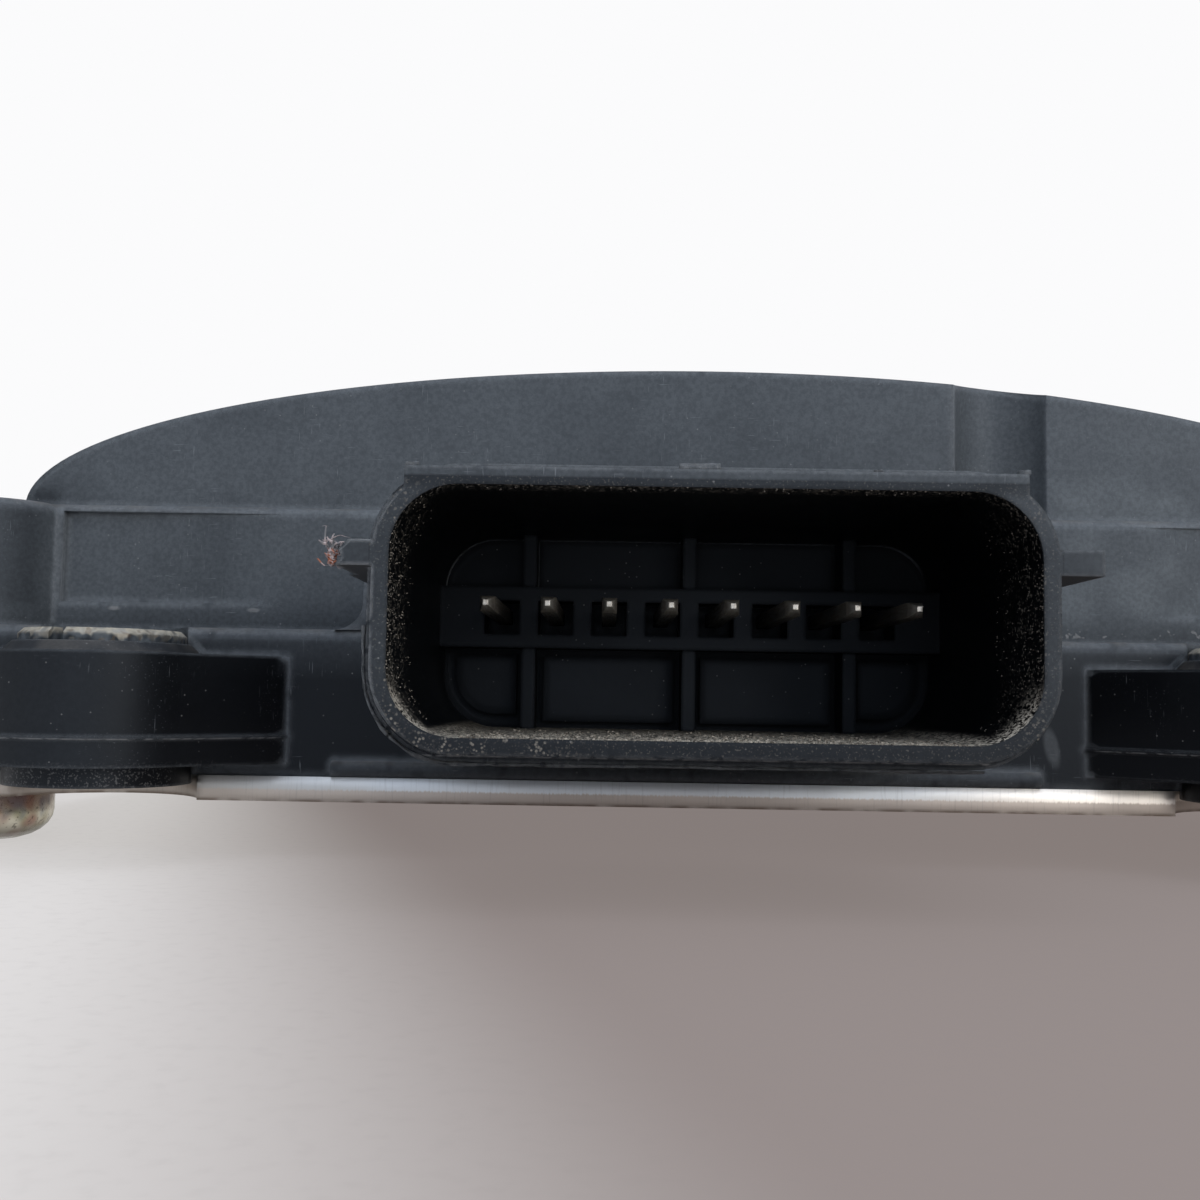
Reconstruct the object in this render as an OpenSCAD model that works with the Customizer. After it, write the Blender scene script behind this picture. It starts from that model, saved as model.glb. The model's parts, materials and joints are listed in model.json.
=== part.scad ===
// Blind spot radar sensor: a moulded housing with a domed radar window, three fixing
// ears and an eight-way connector, closed from behind by a screwed aluminium plate.
// The origin is the centre of the plate's outer face. +Z points out through the dome,
// and the connector looks along -Y.

/* [Body] */
// Width of the skirt, side to side
body_w = 87; // [84:0.5:100]
// Depth of the skirt, connector side to rear side
body_d = 68; // [66:0.5:80]
// Height of the skirt above the back plate
skirt_h = 7.2; // [6.8:0.1:8]
// Radius of the skirt's corners, seen from above
skirt_corner = 6.5; // [5:0.1:8]
// Height of the middle wall above the skirt's ledge
mid_h = 6.7; // [6:0.1:9]
// How far the middle wall stands behind the skirt on the two long sides
mid_set = 5; // [4.5:0.1:5.5]
// How far the middle wall stands inside the skirt at the two ends
mid_side_set = 2.7; // [2:0.1:3.2]
// Radius of the middle wall's corners, seen from above
mid_corner = 2; // [1:0.1:4]
// Rounding of the upper edges of the skirt and the middle wall
edge_round = 0.5; // [0.2:0.05:0.9]
// Wall of the housing
wall = 2.3; // [1.8:0.1:2.6]

/* [Dome] */
// How far the dome's walls stand behind the middle wall
dome_set = 1.2; // [0.8:0.1:1.6]
// How far the dome's ends stand inside the middle wall's
dome_end = 3.8; // [3.2:0.1:6]
// Rise of the dome's arch above the middle wall, at its front
dome_rise = 7.95; // [6:0.05:10]
// Extra rise of the dome at the middle of its depth
dome_crown = 3.6; // [0.5:0.1:3.6]
// Rounding between the dome and its front and rear walls
dome_round = 0.8; // [0.3:0.1:1.5]
// Radius of the upright groove in the dome's front wall
groove_r = 2.6; // [1.5:0.1:3]
// Place of the groove to the right of the middle
groove_x = 15.7; // [10:0.1:20]
// How far the groove's centre line stands ahead of the dome's wall
groove_out = 0.7; // [0.3:0.1:1.5]

/* [Wall panels] */
// Depth of the shallow panels in the middle wall
panel_depth = 0.45; // [0.2:0.05:0.8]
// Height of the band below a panel
panel_foot = 1.5; // [1:0.1:2]
// Height of the band above a panel
panel_head = 0.4; // [0.3:0.1:1]
// Distance from the middle wall's end to a panel's outer end
panel_in = 6.4; // [6.3:0.1:8.5]
// Length of the flat outer part of a panel
panel_flat = 3; // [1:0.5:5]
// Length over which a panel runs out towards the connector
panel_fade = 9; // [5:0.5:10]

/* [Connector] */
// Place of the connector and the front ears to the left of the middle
conn_left = 1.5; // [0:0.1:2]
// Height of the connector's centre above the plate's outer face
conn_z = 8.35; // [8.2:0.05:8.6]
// Width of the connector's mouth
mouth_w = 23.7; // [23:0.1:25]
// Height of the connector's mouth
mouth_h = 9.2; // [9:0.1:9.6]
// Corner radius of the mouth
mouth_r = 2.5; // [1.5:0.1:3.2]
// Length of the shroud ahead of the skirt
shroud_l = 17.3; // [15:0.1:20]
// Wall of the shroud at its rim
rim_wall = 0.62; // [0.5:0.02:0.8]
// Length of the thin rim
rim_l = 0.9; // [0.5:0.1:1.5]
// Extra wall of the shroud behind the rim
shroud_step = 0.28; // [0.1:0.02:0.4]
// Width of the flat top on the shroud
top_plate_w = 22.7; // [20:0.1:23]
// Thickness of the flat top over the mouth
top_plate_t = 0.66; // [0.5:0.02:0.9]
// Width of the block that carries the shroud
block_w = 31.8; // [29:0.1:33]
// Height of the block above the connector's centre
block_up = 3.65; // [3:0.05:4]
// Concave rounding between the block and the ledge
block_round = 1.4; // [0.5:0.1:2]
// Depth of the rounded lip along the block's foot
foot_lip = 0.4; // [0.2:0.05:0.6]
// How far that lip runs past the block's sides
foot_past = 1.3; // [0:0.1:2]

/* [Side rails] */
// How far a rail stands out from the shroud
rail_out = 1.6; // [1:0.1:2]
// Thickness of a rail
rail_t = 0.95; // [0.7:0.05:1.2]
// Height of a rail's middle above the connector's centre
rail_up = 2.05; // [1.5:0.05:2.6]
// Length of a rail from the mouth
rail_l = 15; // [10:0.5:17]
// Width left where the left rail is broken
rail_break_w = 1.15; // [0.7:0.05:1.4]
// Length over which the left rail is broken
rail_break_l = 4.2; // [2:0.1:6]

/* [Contact field] */
// Number of contact pins
pin_count = 8; // [4:2:8]
// Distance between contact pins
pin_pitch = 2.54; // [2.5:0.02:2.6]
// Side of a square contact pin
pin_side = 0.63; // [0.5:0.01:0.66]
// Height of the pins above the connector's centre
pin_up = 0.75; // [0.6:0.05:0.9]
// How far the pin tips stand ahead of the skirt
pin_out = 10.8; // [9:0.1:13]
// Length of a pin's pointed tip
pin_tip_l = 0.9; // [0.4:0.1:1.5]
// Side of the small flat at the end of a tip
pin_tip_side = 0.22; // [0.1:0.02:0.4]
// How far the cross bar stands ahead of the skirt
bar_out = 2.1; // [1.5:0.1:3]
// Height of the cross bar
bar_h = 2.9; // [2.6:0.1:3.2]
// Height of the bar's middle above the connector's centre
bar_up = 0.67; // [0.6:0.01:0.8]
// Depth of the connector's floor behind the bar's face
floor_depth = 2.5; // [1.5:0.1:3]
// Width of the square well round each pin
well_w = 1.65; // [1.4:0.05:1.8]
// Height of the square well round each pin
well_h = 1.6; // [1.4:0.05:1.8]
// Drop of a well's middle below its pin
well_drop = 0.1; // [0:0.05:0.2]
// Thickness of the upright ribs
rib_t = 0.65; // [0.5:0.05:0.9]
// Number of pin pitches from the middle rib to an outer rib
rib_pitches = 3; // [2:1:3]
// How far the ribs stand behind the bar's face
rib_back = 0.25; // [0.1:0.05:0.6]
// Height of the pads in the lower recesses
pad_t = 0.6; // [0.3:0.1:1]
// Gap round each pad
pad_gap = 0.33; // [0.2:0.01:0.5]

/* [Ears] */
// Distance from the connector's centre to a front ear's bore
ear_x = 28.2; // [27.5:0.1:29]
// How far a front ear's bore stands ahead of the skirt
ear_out = 1; // [0.5:0.1:2]
// How far the rear ear's bore stands behind the skirt
rear_ear_out = 2; // [1:0.1:4]
// Radius of an ear's rounded end
ear_r = 5.9; // [5.5:0.1:6.5]
// Angle of an ear's slanted flank
ear_flank = 48; // [42:1:60]
// How far a flank lies inside its tangent to the rounded end
flank_in = 0.05; // [0.03:0.01:0.1]
// Height of an ear's underside above the plate's outer face
ear_z = 1.8; // [1.5:0.05:2]
// Thickness of an ear
ear_t = 5.2; // [4.5:0.1:5.6]
// Height of the mould's parting line above an ear's underside
parting_up = 1.27; // [1:0.01:1.6]
// How far the flash along the parting line stands out
flash_out = 0.1; // [0.05:0.01:0.15]
// Thickness of the flash
flash_t = 0.12; // [0.08:0.01:0.2]
// Radius of the boss under an ear
boss_r = 4.3; // [4.15:0.05:4.5]
// Height of the boss under an ear
boss_h = 1; // [0.6:0.1:1.2]
// Height of the sloped collar on top of an ear
collar_h = 0.5; // [0.3:0.1:0.8]
// Radius of the collar at its foot
collar_r = 4.6; // [4.3:0.1:5]
// Radius of the collar at its top
collar_top_r = 4.1; // [3.95:0.05:4.3]

/* [Ear bushes] */
// Outer radius of a bush
bush_r = 3.85; // [3.6:0.05:3.9]
// Bore radius of a bush
bush_bore_r = 2.75; // [2.6:0.05:3]
// How far a bush stands out above its ear
bush_up = 1.1; // [0.8:0.1:1.4]
// Width of the slit in a rolled bush
bush_slit = 0.75; // [0.3:0.05:1]
// Turn of the slit from the front
bush_turn = -12; // [-40:1:40]
// Chamfer at both ends of a bush
bush_chamfer = 0.25; // [0.1:0.05:0.4]
// Clearance round a bush in its ear
bush_gap = 0.02; // [0:0.01:0.05]

/* [Back plate] */
// Thickness of the back plate
plate_t = 1.2; // [1:0.05:1.5]
// How far the plate stands out past the skirt
plate_over = 0.2; // [0:0.05:0.3]
// Radius of the plate's notches round the ear bosses
notch_r = 4.6; // [4.5:0.05:5.4]
// Radius of the plate's screw holes
plate_hole_r = 2.2; // [2.1:0.05:2.4]

/* [Plate screws] */
// Distance from the skirt's end to a screw
screw_side = 4.5; // [4.2:0.1:5]
// Distance from the skirt's long side to a screw
screw_in = 6.5; // [6:0.1:7]
// Radius of the corner columns that take the screws
column_r = 4.5; // [4.2:0.1:4.8]
// Radius of a screw's shank
screw_r = 1.9; // [1.6:0.05:2]
// Clearance round a screw's shank in its column
screw_gap = 0.05; // [0.02:0.01:0.1]
// Length of a screw below its head
screw_l = 10.5; // [8:0.5:12]
// Radius of a screw's head
head_r = 3.9; // [3.4:0.1:4]
// Height of a screw's head
head_h = 2.7; // [2:0.1:3]
// Depth of the drive recess in a head
drive_depth = 1.5; // [1:0.1:1.8]

/* [Seal] */
// Width of the rubber seal
seal_w = 1.6; // [1.2:0.1:1.7]
// Height of the rubber seal
seal_h = 0.85; // [0.6:0.05:1.2]
// Clearance round the seal in its groove
seal_gap = 0.05; // [0.02:0.01:0.1]
// Distance from the inner space to the seal
seal_in = 1; // [0.8:0.1:1.1]

/* [Inside] */
// Distance from the skirt's end to the inner space
cavity_side = 7; // [6.5:0.1:8]
// Clear radius kept round each corner screw
guard_r = 6.4; // [6:0.1:7]
// Gap between the back plate and the main board
board_gap = 2.8; // [2.6:0.1:3.2]
// Thickness of the main board
board_t = 1.6; // [1.2:0.1:1.6]
// Clearance between the main board and the walls
board_clear = 0.8; // [0.5:0.1:1.2]
// Height of the shield frame between the two boards
frame_h = 7.4; // [7:0.1:8]
// Wall of the shield frame
frame_wall = 1.2; // [0.8:0.1:1.6]
// Clearance between the shield frame and the posts beside it
frame_side = 1.8; // [1:0.1:3]
// Distance from the bend row of the pins to the shield frame
frame_front = 3.85; // [2:0.05:5]
// Distance from the inner space's rear side to the shield frame
frame_rear = 3.75; // [2:0.05:5]
// Thickness of the antenna board
antenna_t = 1; // [0.6:0.1:1.2]
// How far the bend row of the pins stands inside the inner space
pin_row_in = 3.9; // [3:0.1:4.5]
// How far the pins reach through the main board
pin_through = 0.7; // [0.4:0.1:1]
// Bend radius of a pin on its inner side
pin_bend = 0.6; // [0.4:0.1:1]
// Depth of the resin pocket behind the contact field
potting_t = 2; // [1.5:0.1:3]
// Height of the resin pocket
potting_h = 3.4; // [3:0.1:3.8]
// Clearance round pins, holes and seated inner parts
fit_gap = 0.03; // [0.02:0.01:0.05]
// Distance from the inner space's end to a board screw
post_side = 5.5; // [5:0.1:6]
// Distance from the inner space's long side to a board screw
post_in = 5.75; // [5:0.05:6.5]
// Radius of the posts that take the board screws
post_r = 2.2; // [2:0.1:2.4]
// Radius of a board screw's shank
post_screw_r = 1; // [0.8:0.05:1.1]
// Radius of a board screw's head
post_head_r = 1.9; // [1.6:0.1:2]
// Height of a board screw's head
post_head_h = 1.2; // [0.9:0.1:1.4]
// Length of a board screw below its head
post_screw_l = 6.5; // [5:0.5:8]

/* [Board parts] */
// Side of the microcontroller's body
micro_side = 12; // [9:0.5:14]
// Height of the microcontroller's body
micro_h = 1.4; // [1:0.1:1.6]
// Leads on each side of the microcontroller
micro_leads = 12; // [8:1:14]
// Side of a radar chip
radar_side = 6; // [4:0.5:8]
// Height of a radar chip
radar_h = 0.9; // [0.6:0.1:1.2]
// Radius of a power capacitor
cap_r = 3.15; // [2.5:0.05:3.3]
// Height of a power capacitor
cap_h = 5.8; // [4.5:0.1:6.2]
// Side of the power inductor
coil_side = 7; // [5:0.5:8]
// Height of the power inductor
coil_h = 4; // [3:0.1:5]
// Ways in each of the two rows of the board link
link_ways = 7; // [4:1:8]
// Distance between the ways of the board link
link_pitch = 1.27; // [1.2:0.01:1.4]

/* [Hidden] */

// A hair of overlap that keeps joined forms clean, and how far a cut runs past a face
eps = 0.01;
past = 1;
round_fn = 64;

// Heights, from the plate's outer face
skirt_z = plate_t + skirt_h;
step_z = skirt_z + mid_h;
ear_top = ear_z + ear_t;
boss_z = ear_z - boss_h;
bush_top = ear_top + bush_up;
board_z = plate_t + board_gap;
board_top = board_z + board_t;
antenna_z = board_top + frame_h;
antenna_top = antenna_z + antenna_t;
pin_z = conn_z + pin_up;
bar_z = conn_z + bar_up;

// Half sizes and places in plan
skirt_x = body_w / 2;
skirt_y = body_d / 2;
mid_x = skirt_x - mid_side_set;
mid_y = skirt_y - mid_set;
dome_x = mid_x - dome_end;
dome_y = mid_y - dome_set;
cavity_x = skirt_x - cavity_side;
cavity_y = mid_y - wall - panel_depth;
screw_x = skirt_x - screw_side;
screw_y = skirt_y - screw_in;
conn_x = -conn_left;
front_ear_y = -skirt_y - ear_out;
rear_ear_y = skirt_y + rear_ear_out;
ear_root = mid_set / 2;
post_x = cavity_x - post_side;
post_y = cavity_y - post_in;

// Connector, along y
front_y = -skirt_y;
mouth_y = front_y - shroud_l;
bar_y = front_y - bar_out;
floor_y = bar_y + floor_depth;
tip_y = front_y - pin_out;
pin_row_y = -cavity_y + pin_row_in;
half_mouth = mouth_w / 2;
floor_z = conn_z - mouth_h / 2;
roof_z = conn_z + mouth_h / 2;
top_plate_z = roof_z + top_plate_t;
rim_x = half_mouth + rim_wall;
pin_xs = [for (i = [0:pin_count - 1]) conn_x + (i - (pin_count - 1) / 2) * pin_pitch];
rib_xs = [for (i = [-1:1]) conn_x + i * rib_pitches * pin_pitch];

// Shield frame and antenna board, in plan
frame_w = 2 * (post_x - post_r - frame_side);
frame_y0 = pin_row_y + frame_front;
frame_y1 = cavity_y - frame_rear;
frame_d = frame_y1 - frame_y0;
frame_back = (frame_y0 + frame_y1) / 2;

// Dome sections
dome_facets = 80;
dome_slices = 10;
round_steps = 3;
dome_root = 1;

// Resin pocket, just wider than the row of pins
potting_w = pin_count * pin_pitch + 1.2;

// How far in from the shield frame's edges the rows and columns of parts stand
front_in = 9.5;
rear_in = 8.5;
side_in = 10;
reg_in = 9;

// Board link and its place on the boards
link_w = (link_ways + 1) * link_pitch;
link_d = 3.6;
link_in = 11;
link_x = frame_w / 2 - link_in;
link_y = frame_y1 - rear_in;
link_pin = 0.4;
link_split = board_top + frame_h / 2;

// Parts on the boards, kept clear of the shield frame's walls
front_row = frame_y0 + front_in;
rear_row = frame_y1 - rear_in;
lead_t = 0.2;
lead_w = 0.3;
lead_out = 1;
bus_leads = 4;
reg_leads = 5;
micro_pos = [-8, 2];
radar_gap = 9;
radar_y = front_row + 1;
bus_size = [5, 4, 1.5];
bus_pos = [-frame_w / 2 + side_in, front_row];
reg_size = [6.5, 6, 2.2];
reg_pos = [frame_w / 2 - reg_in, front_row];
reg_gap = 9;
cap_pos = [reg_pos[0] - reg_gap, front_row];
cap_step = 7.5;
coil_pos = [-frame_w / 2 + side_in, rear_row];
crystal_size = [5, 3.2, 1];
crystal_pos = [0, rear_row + 1];

// Section with two rounded upper corners, half width h, from z0 up to z1
module soft_section(h, z0, z1, r) {
    translate([-h, z0]) square([2 * h, z1 - r - z0]);
    translate([-h + r, z0]) square([2 * (h - r), z1 - z0]);
    for (s = [-1, 1]) translate([s * (h - r), z1 - r]) circle(r, $fn = 24);
}

// The same section for a round corner, on one side of its axis
module soft_corner(radius, z0, z1, r) {
    intersection() {
        soft_section(radius, z0, z1, r);
        translate([0, z0]) square([radius, z1 - z0]);
    }
}

// Slab with round corners in plan and a rounded upper edge all the way round
module soft_slab(hx, hy, corner, z0, z1, r) {
    rotate([90, 0, 90])
        linear_extrude(2 * (hx - corner), center = true) soft_section(hy, z0, z1, r);
    rotate([90, 0, 0])
        linear_extrude(2 * (hy - corner), center = true) soft_section(hx, z0, z1, r);
    for (sx = [-1, 1], sy = [-1, 1]) translate([sx * (hx - corner), sy * (hy - corner)])
        rotate_extrude($fn = round_fn) soft_corner(corner, z0, z1, r);
}

// Upper half of an ellipse with a straight root below it
function arch(a, b, root) = concat(
    [for (i = [0:dome_facets]) [a * cos(180 * i / dome_facets), b * sin(180 * i / dome_facets)]],
    [[-a, -root], [a, -root]]
);

// Rise of the dome at a distance y from the middle
function rise_at(y) = dome_rise + dome_crown * (1 - pow(y / dome_y, 2));

// One thin slice of the dome, drawn in by inset at its edge
module dome_slice(y, inset) {
    translate([0, y, step_z]) rotate([90, 0, 0])
        linear_extrude(eps) polygon(arch(dome_x - inset, rise_at(y) - inset, dome_root));
}

// The dome: slices with a crown along y and rounded front and rear edges
module dome() {
    hull() {
        for (i = [0:round_steps], s = [-1, 1])
            let (a = 90 * i / round_steps)
            dome_slice(s * (dome_y - dome_round * (1 - sin(a))), dome_round * (1 - cos(90 - a)));
        for (i = [1:dome_slices - 1])
            dome_slice((2 * i / dome_slices - 1) * (dome_y - dome_round), 0);
    }
}

// Plan of the inner space: a rectangle that keeps clear of the corner screws
module inner_plan(grow) {
    difference() {
        square([2 * (cavity_x + grow), 2 * (cavity_y + grow)], center = true);
        for (sx = [-1, 1], sy = [-1, 1])
            translate([sx * screw_x, sy * screw_y]) circle(guard_r - grow, $fn = round_fn);
    }
}

// Plan of an ear round its bore: a round end and two near-tangent flanks that run back by reach.
// side_a and side_b are the flank angles on the -x and +x side.
module ear_plan(side_a, side_b, reach, grow) {
    r = ear_r + grow - flank_in;
    flank = [for (f = [[-1, side_a], [1, side_b]])
        let (s = f[0], a = f[1], touch = [s * r * sin(a), -r * cos(a)], run = (reach - touch[1]) / sin(a))
        [touch, touch + run * [s * cos(a), sin(a)]]];
    circle(ear_r + grow, $fn = round_fn);
    polygon([flank[0][0], flank[0][1], flank[1][1], flank[1][0]]);
}

// One ear without its bore: slab, flash line, boss and collar
module ear(side_a, side_b, reach) {
    translate([0, 0, ear_z]) linear_extrude(ear_t) ear_plan(side_a, side_b, reach, 0);
    translate([0, 0, ear_z + parting_up]) linear_extrude(flash_t) ear_plan(side_a, side_b, reach, flash_out);
    translate([0, 0, boss_z]) cylinder(r = boss_r, h = boss_h + eps, $fn = round_fn);
    translate([0, 0, ear_top - eps])
        cylinder(r1 = collar_r, r2 = collar_top_r, h = collar_h + eps, $fn = round_fn);
}

// Puts its children at each ear's bore axis
module at_ears() {
    for (s = [-1, 1]) translate([conn_x + s * ear_x, front_ear_y, 0]) children();
    translate([0, rear_ear_y, 0]) children();
}

module ears() {
    reach = ear_out + ear_root;
    translate([conn_x - ear_x, front_ear_y, 0]) ear(90, ear_flank, reach);
    translate([conn_x + ear_x, front_ear_y, 0]) ear(ear_flank, 90, reach);
    translate([0, rear_ear_y, 0]) rotate(180) ear(ear_flank, ear_flank, rear_ear_out + ear_root);
}

// Rounded rectangle round the connector's centre, in x and z
module mouth_plan(grow) {
    hx = half_mouth + grow;
    hz = mouth_h / 2 + grow;
    r = mouth_r + grow;
    square([2 * (hx - r), 2 * hz], center = true);
    square([2 * hx, 2 * (hz - r)], center = true);
    for (sx = [-1, 1], sz = [-1, 1]) translate([sx * (hx - r), sz * (hz - r)]) circle(r, $fn = round_fn);
}

// Sweeps an x-z outline round the connector's centre from y0 back to y1
module along_connector(y0, y1) {
    translate([conn_x, y1, conn_z]) rotate([90, 0, 0]) linear_extrude(y1 - y0) children();
}

// Box from its lowest to its highest corner
module span(low, high) {
    translate(low) cube(high - low);
}

// A rail's cross section on the right side, and the left one where it is broken
module rail_section(broken) {
    low = -rail_t / 2;
    torn = [[0.2, 0], [-0.05, 0.32], [0.05, 0.63], [-0.3, 1]];
    if (broken)
        polygon(concat([[0, low]], [for (t = torn) [rail_break_w + t[0], low + t[1] * rail_t]], [[0, -low]]));
    else
        translate([0, low]) square([rail_out, rail_t]);
}

// Outer form of the shroud: a thin rim, a thicker root, the flat top and the side rails
module shroud_outside() {
    back_y = front_y + mid_set;
    along_connector(mouth_y, back_y) mouth_plan(rim_wall);
    along_connector(mouth_y + rim_l, back_y) mouth_plan(rim_wall + shroud_step);
    along_connector(mouth_y, back_y) translate([-top_plate_w / 2, 0])
        square([top_plate_w, top_plate_z - conn_z]);
    for (s = [-1, 1]) mirror([s < 0 ? 1 : 0, 0, 0]) translate([s < 0 ? -2 * conn_x : 0, 0, rail_up]) {
        broken_l = s < 0 ? rail_break_l : 0;
        along_connector(mouth_y + broken_l, mouth_y + rail_l) translate([rim_x - eps, 0])
            rail_section(false);
        if (s < 0) along_connector(mouth_y, mouth_y + broken_l) translate([rim_x - eps, 0])
            rail_section(true);
    }
}

// Block that joins the shroud to the skirt, with its concave corners on the ledge
module connector_block() {
    half = block_w / 2;
    top = conn_z + block_up;
    back_y = front_y + mid_set + eps;
    translate([conn_x, 0, 0]) {
        translate([0, back_y, 0]) rotate([90, 0, 0]) linear_extrude(mid_set + eps)
            soft_section(half, plate_t, top, block_round);
        for (s = [-1, 1]) translate([s * (half + block_round / 2), back_y, skirt_z + block_round / 2 - eps])
            rotate([90, 0, 0]) linear_extrude(mid_set + eps) difference() {
                square(block_round + 2 * eps, center = true);
                translate([s * block_round / 2, block_round / 2]) circle(block_round, $fn = 32);
            }
        translate([-half - foot_past, front_y, plate_t + foot_lip]) rotate([0, 90, 0])
            cylinder(r = foot_lip, h = block_w + 2 * foot_past, $fn = 24);
    }
}

// What stands in the connector: cross bar with wells, upright ribs and the low pads
module contact_field() {
    along = [-half_mouth, half_mouth];
    bar = [bar_z - bar_h / 2, bar_z + bar_h / 2];
    rib_y = bar_y + rib_back;
    step = rib_pitches * pin_pitch;
    difference() {
        span([conn_x + along[0], bar_y, bar[0]], [conn_x + along[1], floor_y + eps, bar[1]]);
        for (x = pin_xs) span([x - well_w / 2, bar_y - eps, pin_z - well_drop - well_h / 2],
            [x + well_w / 2, floor_y, pin_z - well_drop + well_h / 2]);
    }
    for (x = rib_xs, part = [[floor_z - eps, bar[0] + eps], [bar[1] - eps, roof_z + eps]])
        span([x - rib_t / 2, rib_y, part[0]], [x + rib_t / 2, floor_y + eps, part[1]]);
    for (i = [0:1]) span([rib_xs[i] + rib_t / 2 + pad_gap, floor_y - pad_t, floor_z + pad_gap],
        [rib_xs[i] + step - rib_t / 2 - pad_gap, floor_y + eps, bar[0] - pad_gap]);
    end_pads(bar[0]);
}

// Pads in the two end recesses, with the mouth's round corner
module end_pads(top) {
    intersection() {
        along_connector(floor_y - pad_t, floor_y + eps) mouth_plan(-2 * pad_gap);
        for (s = [-1, 1]) translate([conn_x + s * (rib_pitches * pin_pitch + rib_t / 2 + pad_gap), 0, 0])
            mirror([s < 0 ? 1 : 0, 0, 0])
            span([0, floor_y - 2 * pad_t, floor_z], [half_mouth, floor_y + past, top - pad_gap]);
    }
}

// Shallow panels in the front middle wall, which run out towards the connector
module wall_panels() {
    low = skirt_z + panel_foot;
    panel_end = mid_x - panel_in;
    bend = panel_end - panel_flat;
    fade = bend - panel_fade;
    for (s = [-1, 1]) translate([0, 0, low]) linear_extrude(step_z - panel_head - low)
        polygon([[s * panel_end, -mid_y - past], [s * panel_end, -mid_y + panel_depth],
            [s * bend, -mid_y + panel_depth], [s * fade, -mid_y - eps], [s * fade, -mid_y - past]]);
}

// Outer form of the housing
module housing_outside() {
    soft_slab(skirt_x, skirt_y, skirt_corner, plate_t, skirt_z, edge_round);
    difference() {
        soft_slab(mid_x, mid_y, mid_corner, plate_t, step_z, edge_round);
        wall_panels();
    }
    for (sx = [-1, 1], sy = [-1, 1]) translate([sx * screw_x, sy * screw_y])
        rotate_extrude($fn = round_fn) soft_corner(column_r, plate_t, step_z, edge_round);
    difference() {
        dome();
        translate([groove_x, -dome_y - groove_out, step_z])
            cylinder(r = groove_r, h = dome_rise + dome_crown, $fn = round_fn);
    }
    connector_block();
    ears();
    shroud_outside();
}

// Inner space of the housing, open towards the back plate
module housing_inside() {
    roof = step_z - wall;
    arch_y = dome_y - wall;
    translate([0, 0, plate_t - eps]) linear_extrude(roof - plate_t) inner_plan(0);
    difference() {
        translate([0, arch_y, step_z]) rotate([90, 0, 0])
            linear_extrude(2 * arch_y) polygon(arch(dome_x - wall, dome_rise - wall, wall + eps));
        translate([groove_x, -dome_y - groove_out, roof - past])
            cylinder(r = groove_r + wall, h = dome_rise + wall, $fn = round_fn);
    }
}

// Posts inside the housing that take the board screws, up into the roof
module board_posts() {
    for (sx = [-1, 1], sy = [-1, 1]) translate([sx * post_x, sy * post_y, board_top])
        cylinder(r = post_r, h = step_z + dome_rise / 4 - board_top, $fn = 32);
}

// Moulded housing: dome, stepped walls, shroud with its contact field, and ears
module housing() {
    color("#3c4248") difference() {
        union() {
            difference() {
                housing_outside();
                housing_inside();
                along_connector(mouth_y - past, floor_y) mouth_plan(0);
            }
            contact_field();
            board_posts();
        }
        for (x = pin_xs) span([x, floor_y - past, pin_z] - (pin_side / 2 + fit_gap) * [1, 0, 1],
            [x, -cavity_y + past, pin_z] + (pin_side / 2 + fit_gap) * [1, 0, 1]);
        translate([conn_x, 0, 0]) span([-potting_w / 2, -cavity_y - potting_t, pin_z - potting_h / 2],
            [potting_w / 2, -cavity_y + eps, pin_z + potting_h / 2]);
        translate([0, 0, plate_t - eps]) linear_extrude(seal_h + seal_gap + eps) difference() {
            inner_plan(seal_in + seal_w + seal_gap);
            inner_plan(seal_in - seal_gap);
        }
        for (sx = [-1, 1], sy = [-1, 1]) {
            translate([sx * screw_x, sy * screw_y, plate_t - eps])
                cylinder(r = screw_r + screw_gap, h = screw_l, $fn = round_fn);
            translate([sx * post_x, sy * post_y, board_top - eps])
                cylinder(r = post_screw_r + screw_gap, h = post_screw_l, $fn = 32);
        }
        at_ears() translate([0, 0, boss_z - past])
            cylinder(r = bush_r + bush_gap, h = ear_t + boss_h + collar_h + 2 * past, $fn = round_fn);
    }
}

// Sheet aluminium plate that closes the housing, notched round the ear bosses
module back_plate() {
    color("#b9bdbf") linear_extrude(plate_t) difference() {
        plate_plan(skirt_x + plate_over, skirt_y + plate_over, skirt_corner + plate_over);
        at_ears() circle(notch_r, $fn = round_fn);
        for (sx = [-1, 1], sy = [-1, 1])
            translate([sx * screw_x, sy * screw_y]) circle(plate_hole_r, $fn = round_fn);
    }
}

module plate_plan(hx, hy, r) {
    square([2 * (hx - r), 2 * hy], center = true);
    square([2 * hx, 2 * (hy - r)], center = true);
    for (sx = [-1, 1], sy = [-1, 1]) translate([sx * (hx - r), sy * (hy - r)]) circle(r, $fn = round_fn);
}

// Rubber seal in the housing's groove
module plate_seal() {
    color("#202224") translate([0, 0, plate_t]) linear_extrude(seal_h) difference() {
        inner_plan(seal_in + seal_w);
        inner_plan(seal_in);
    }
}

// Six-lobed drive recess
module drive_plan(r) {
    circle(r * 0.72, $fn = 24);
    for (i = [0:5]) rotate(60 * i) translate([r * 0.72, 0]) circle(r * 0.24, $fn = 16);
}

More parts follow.
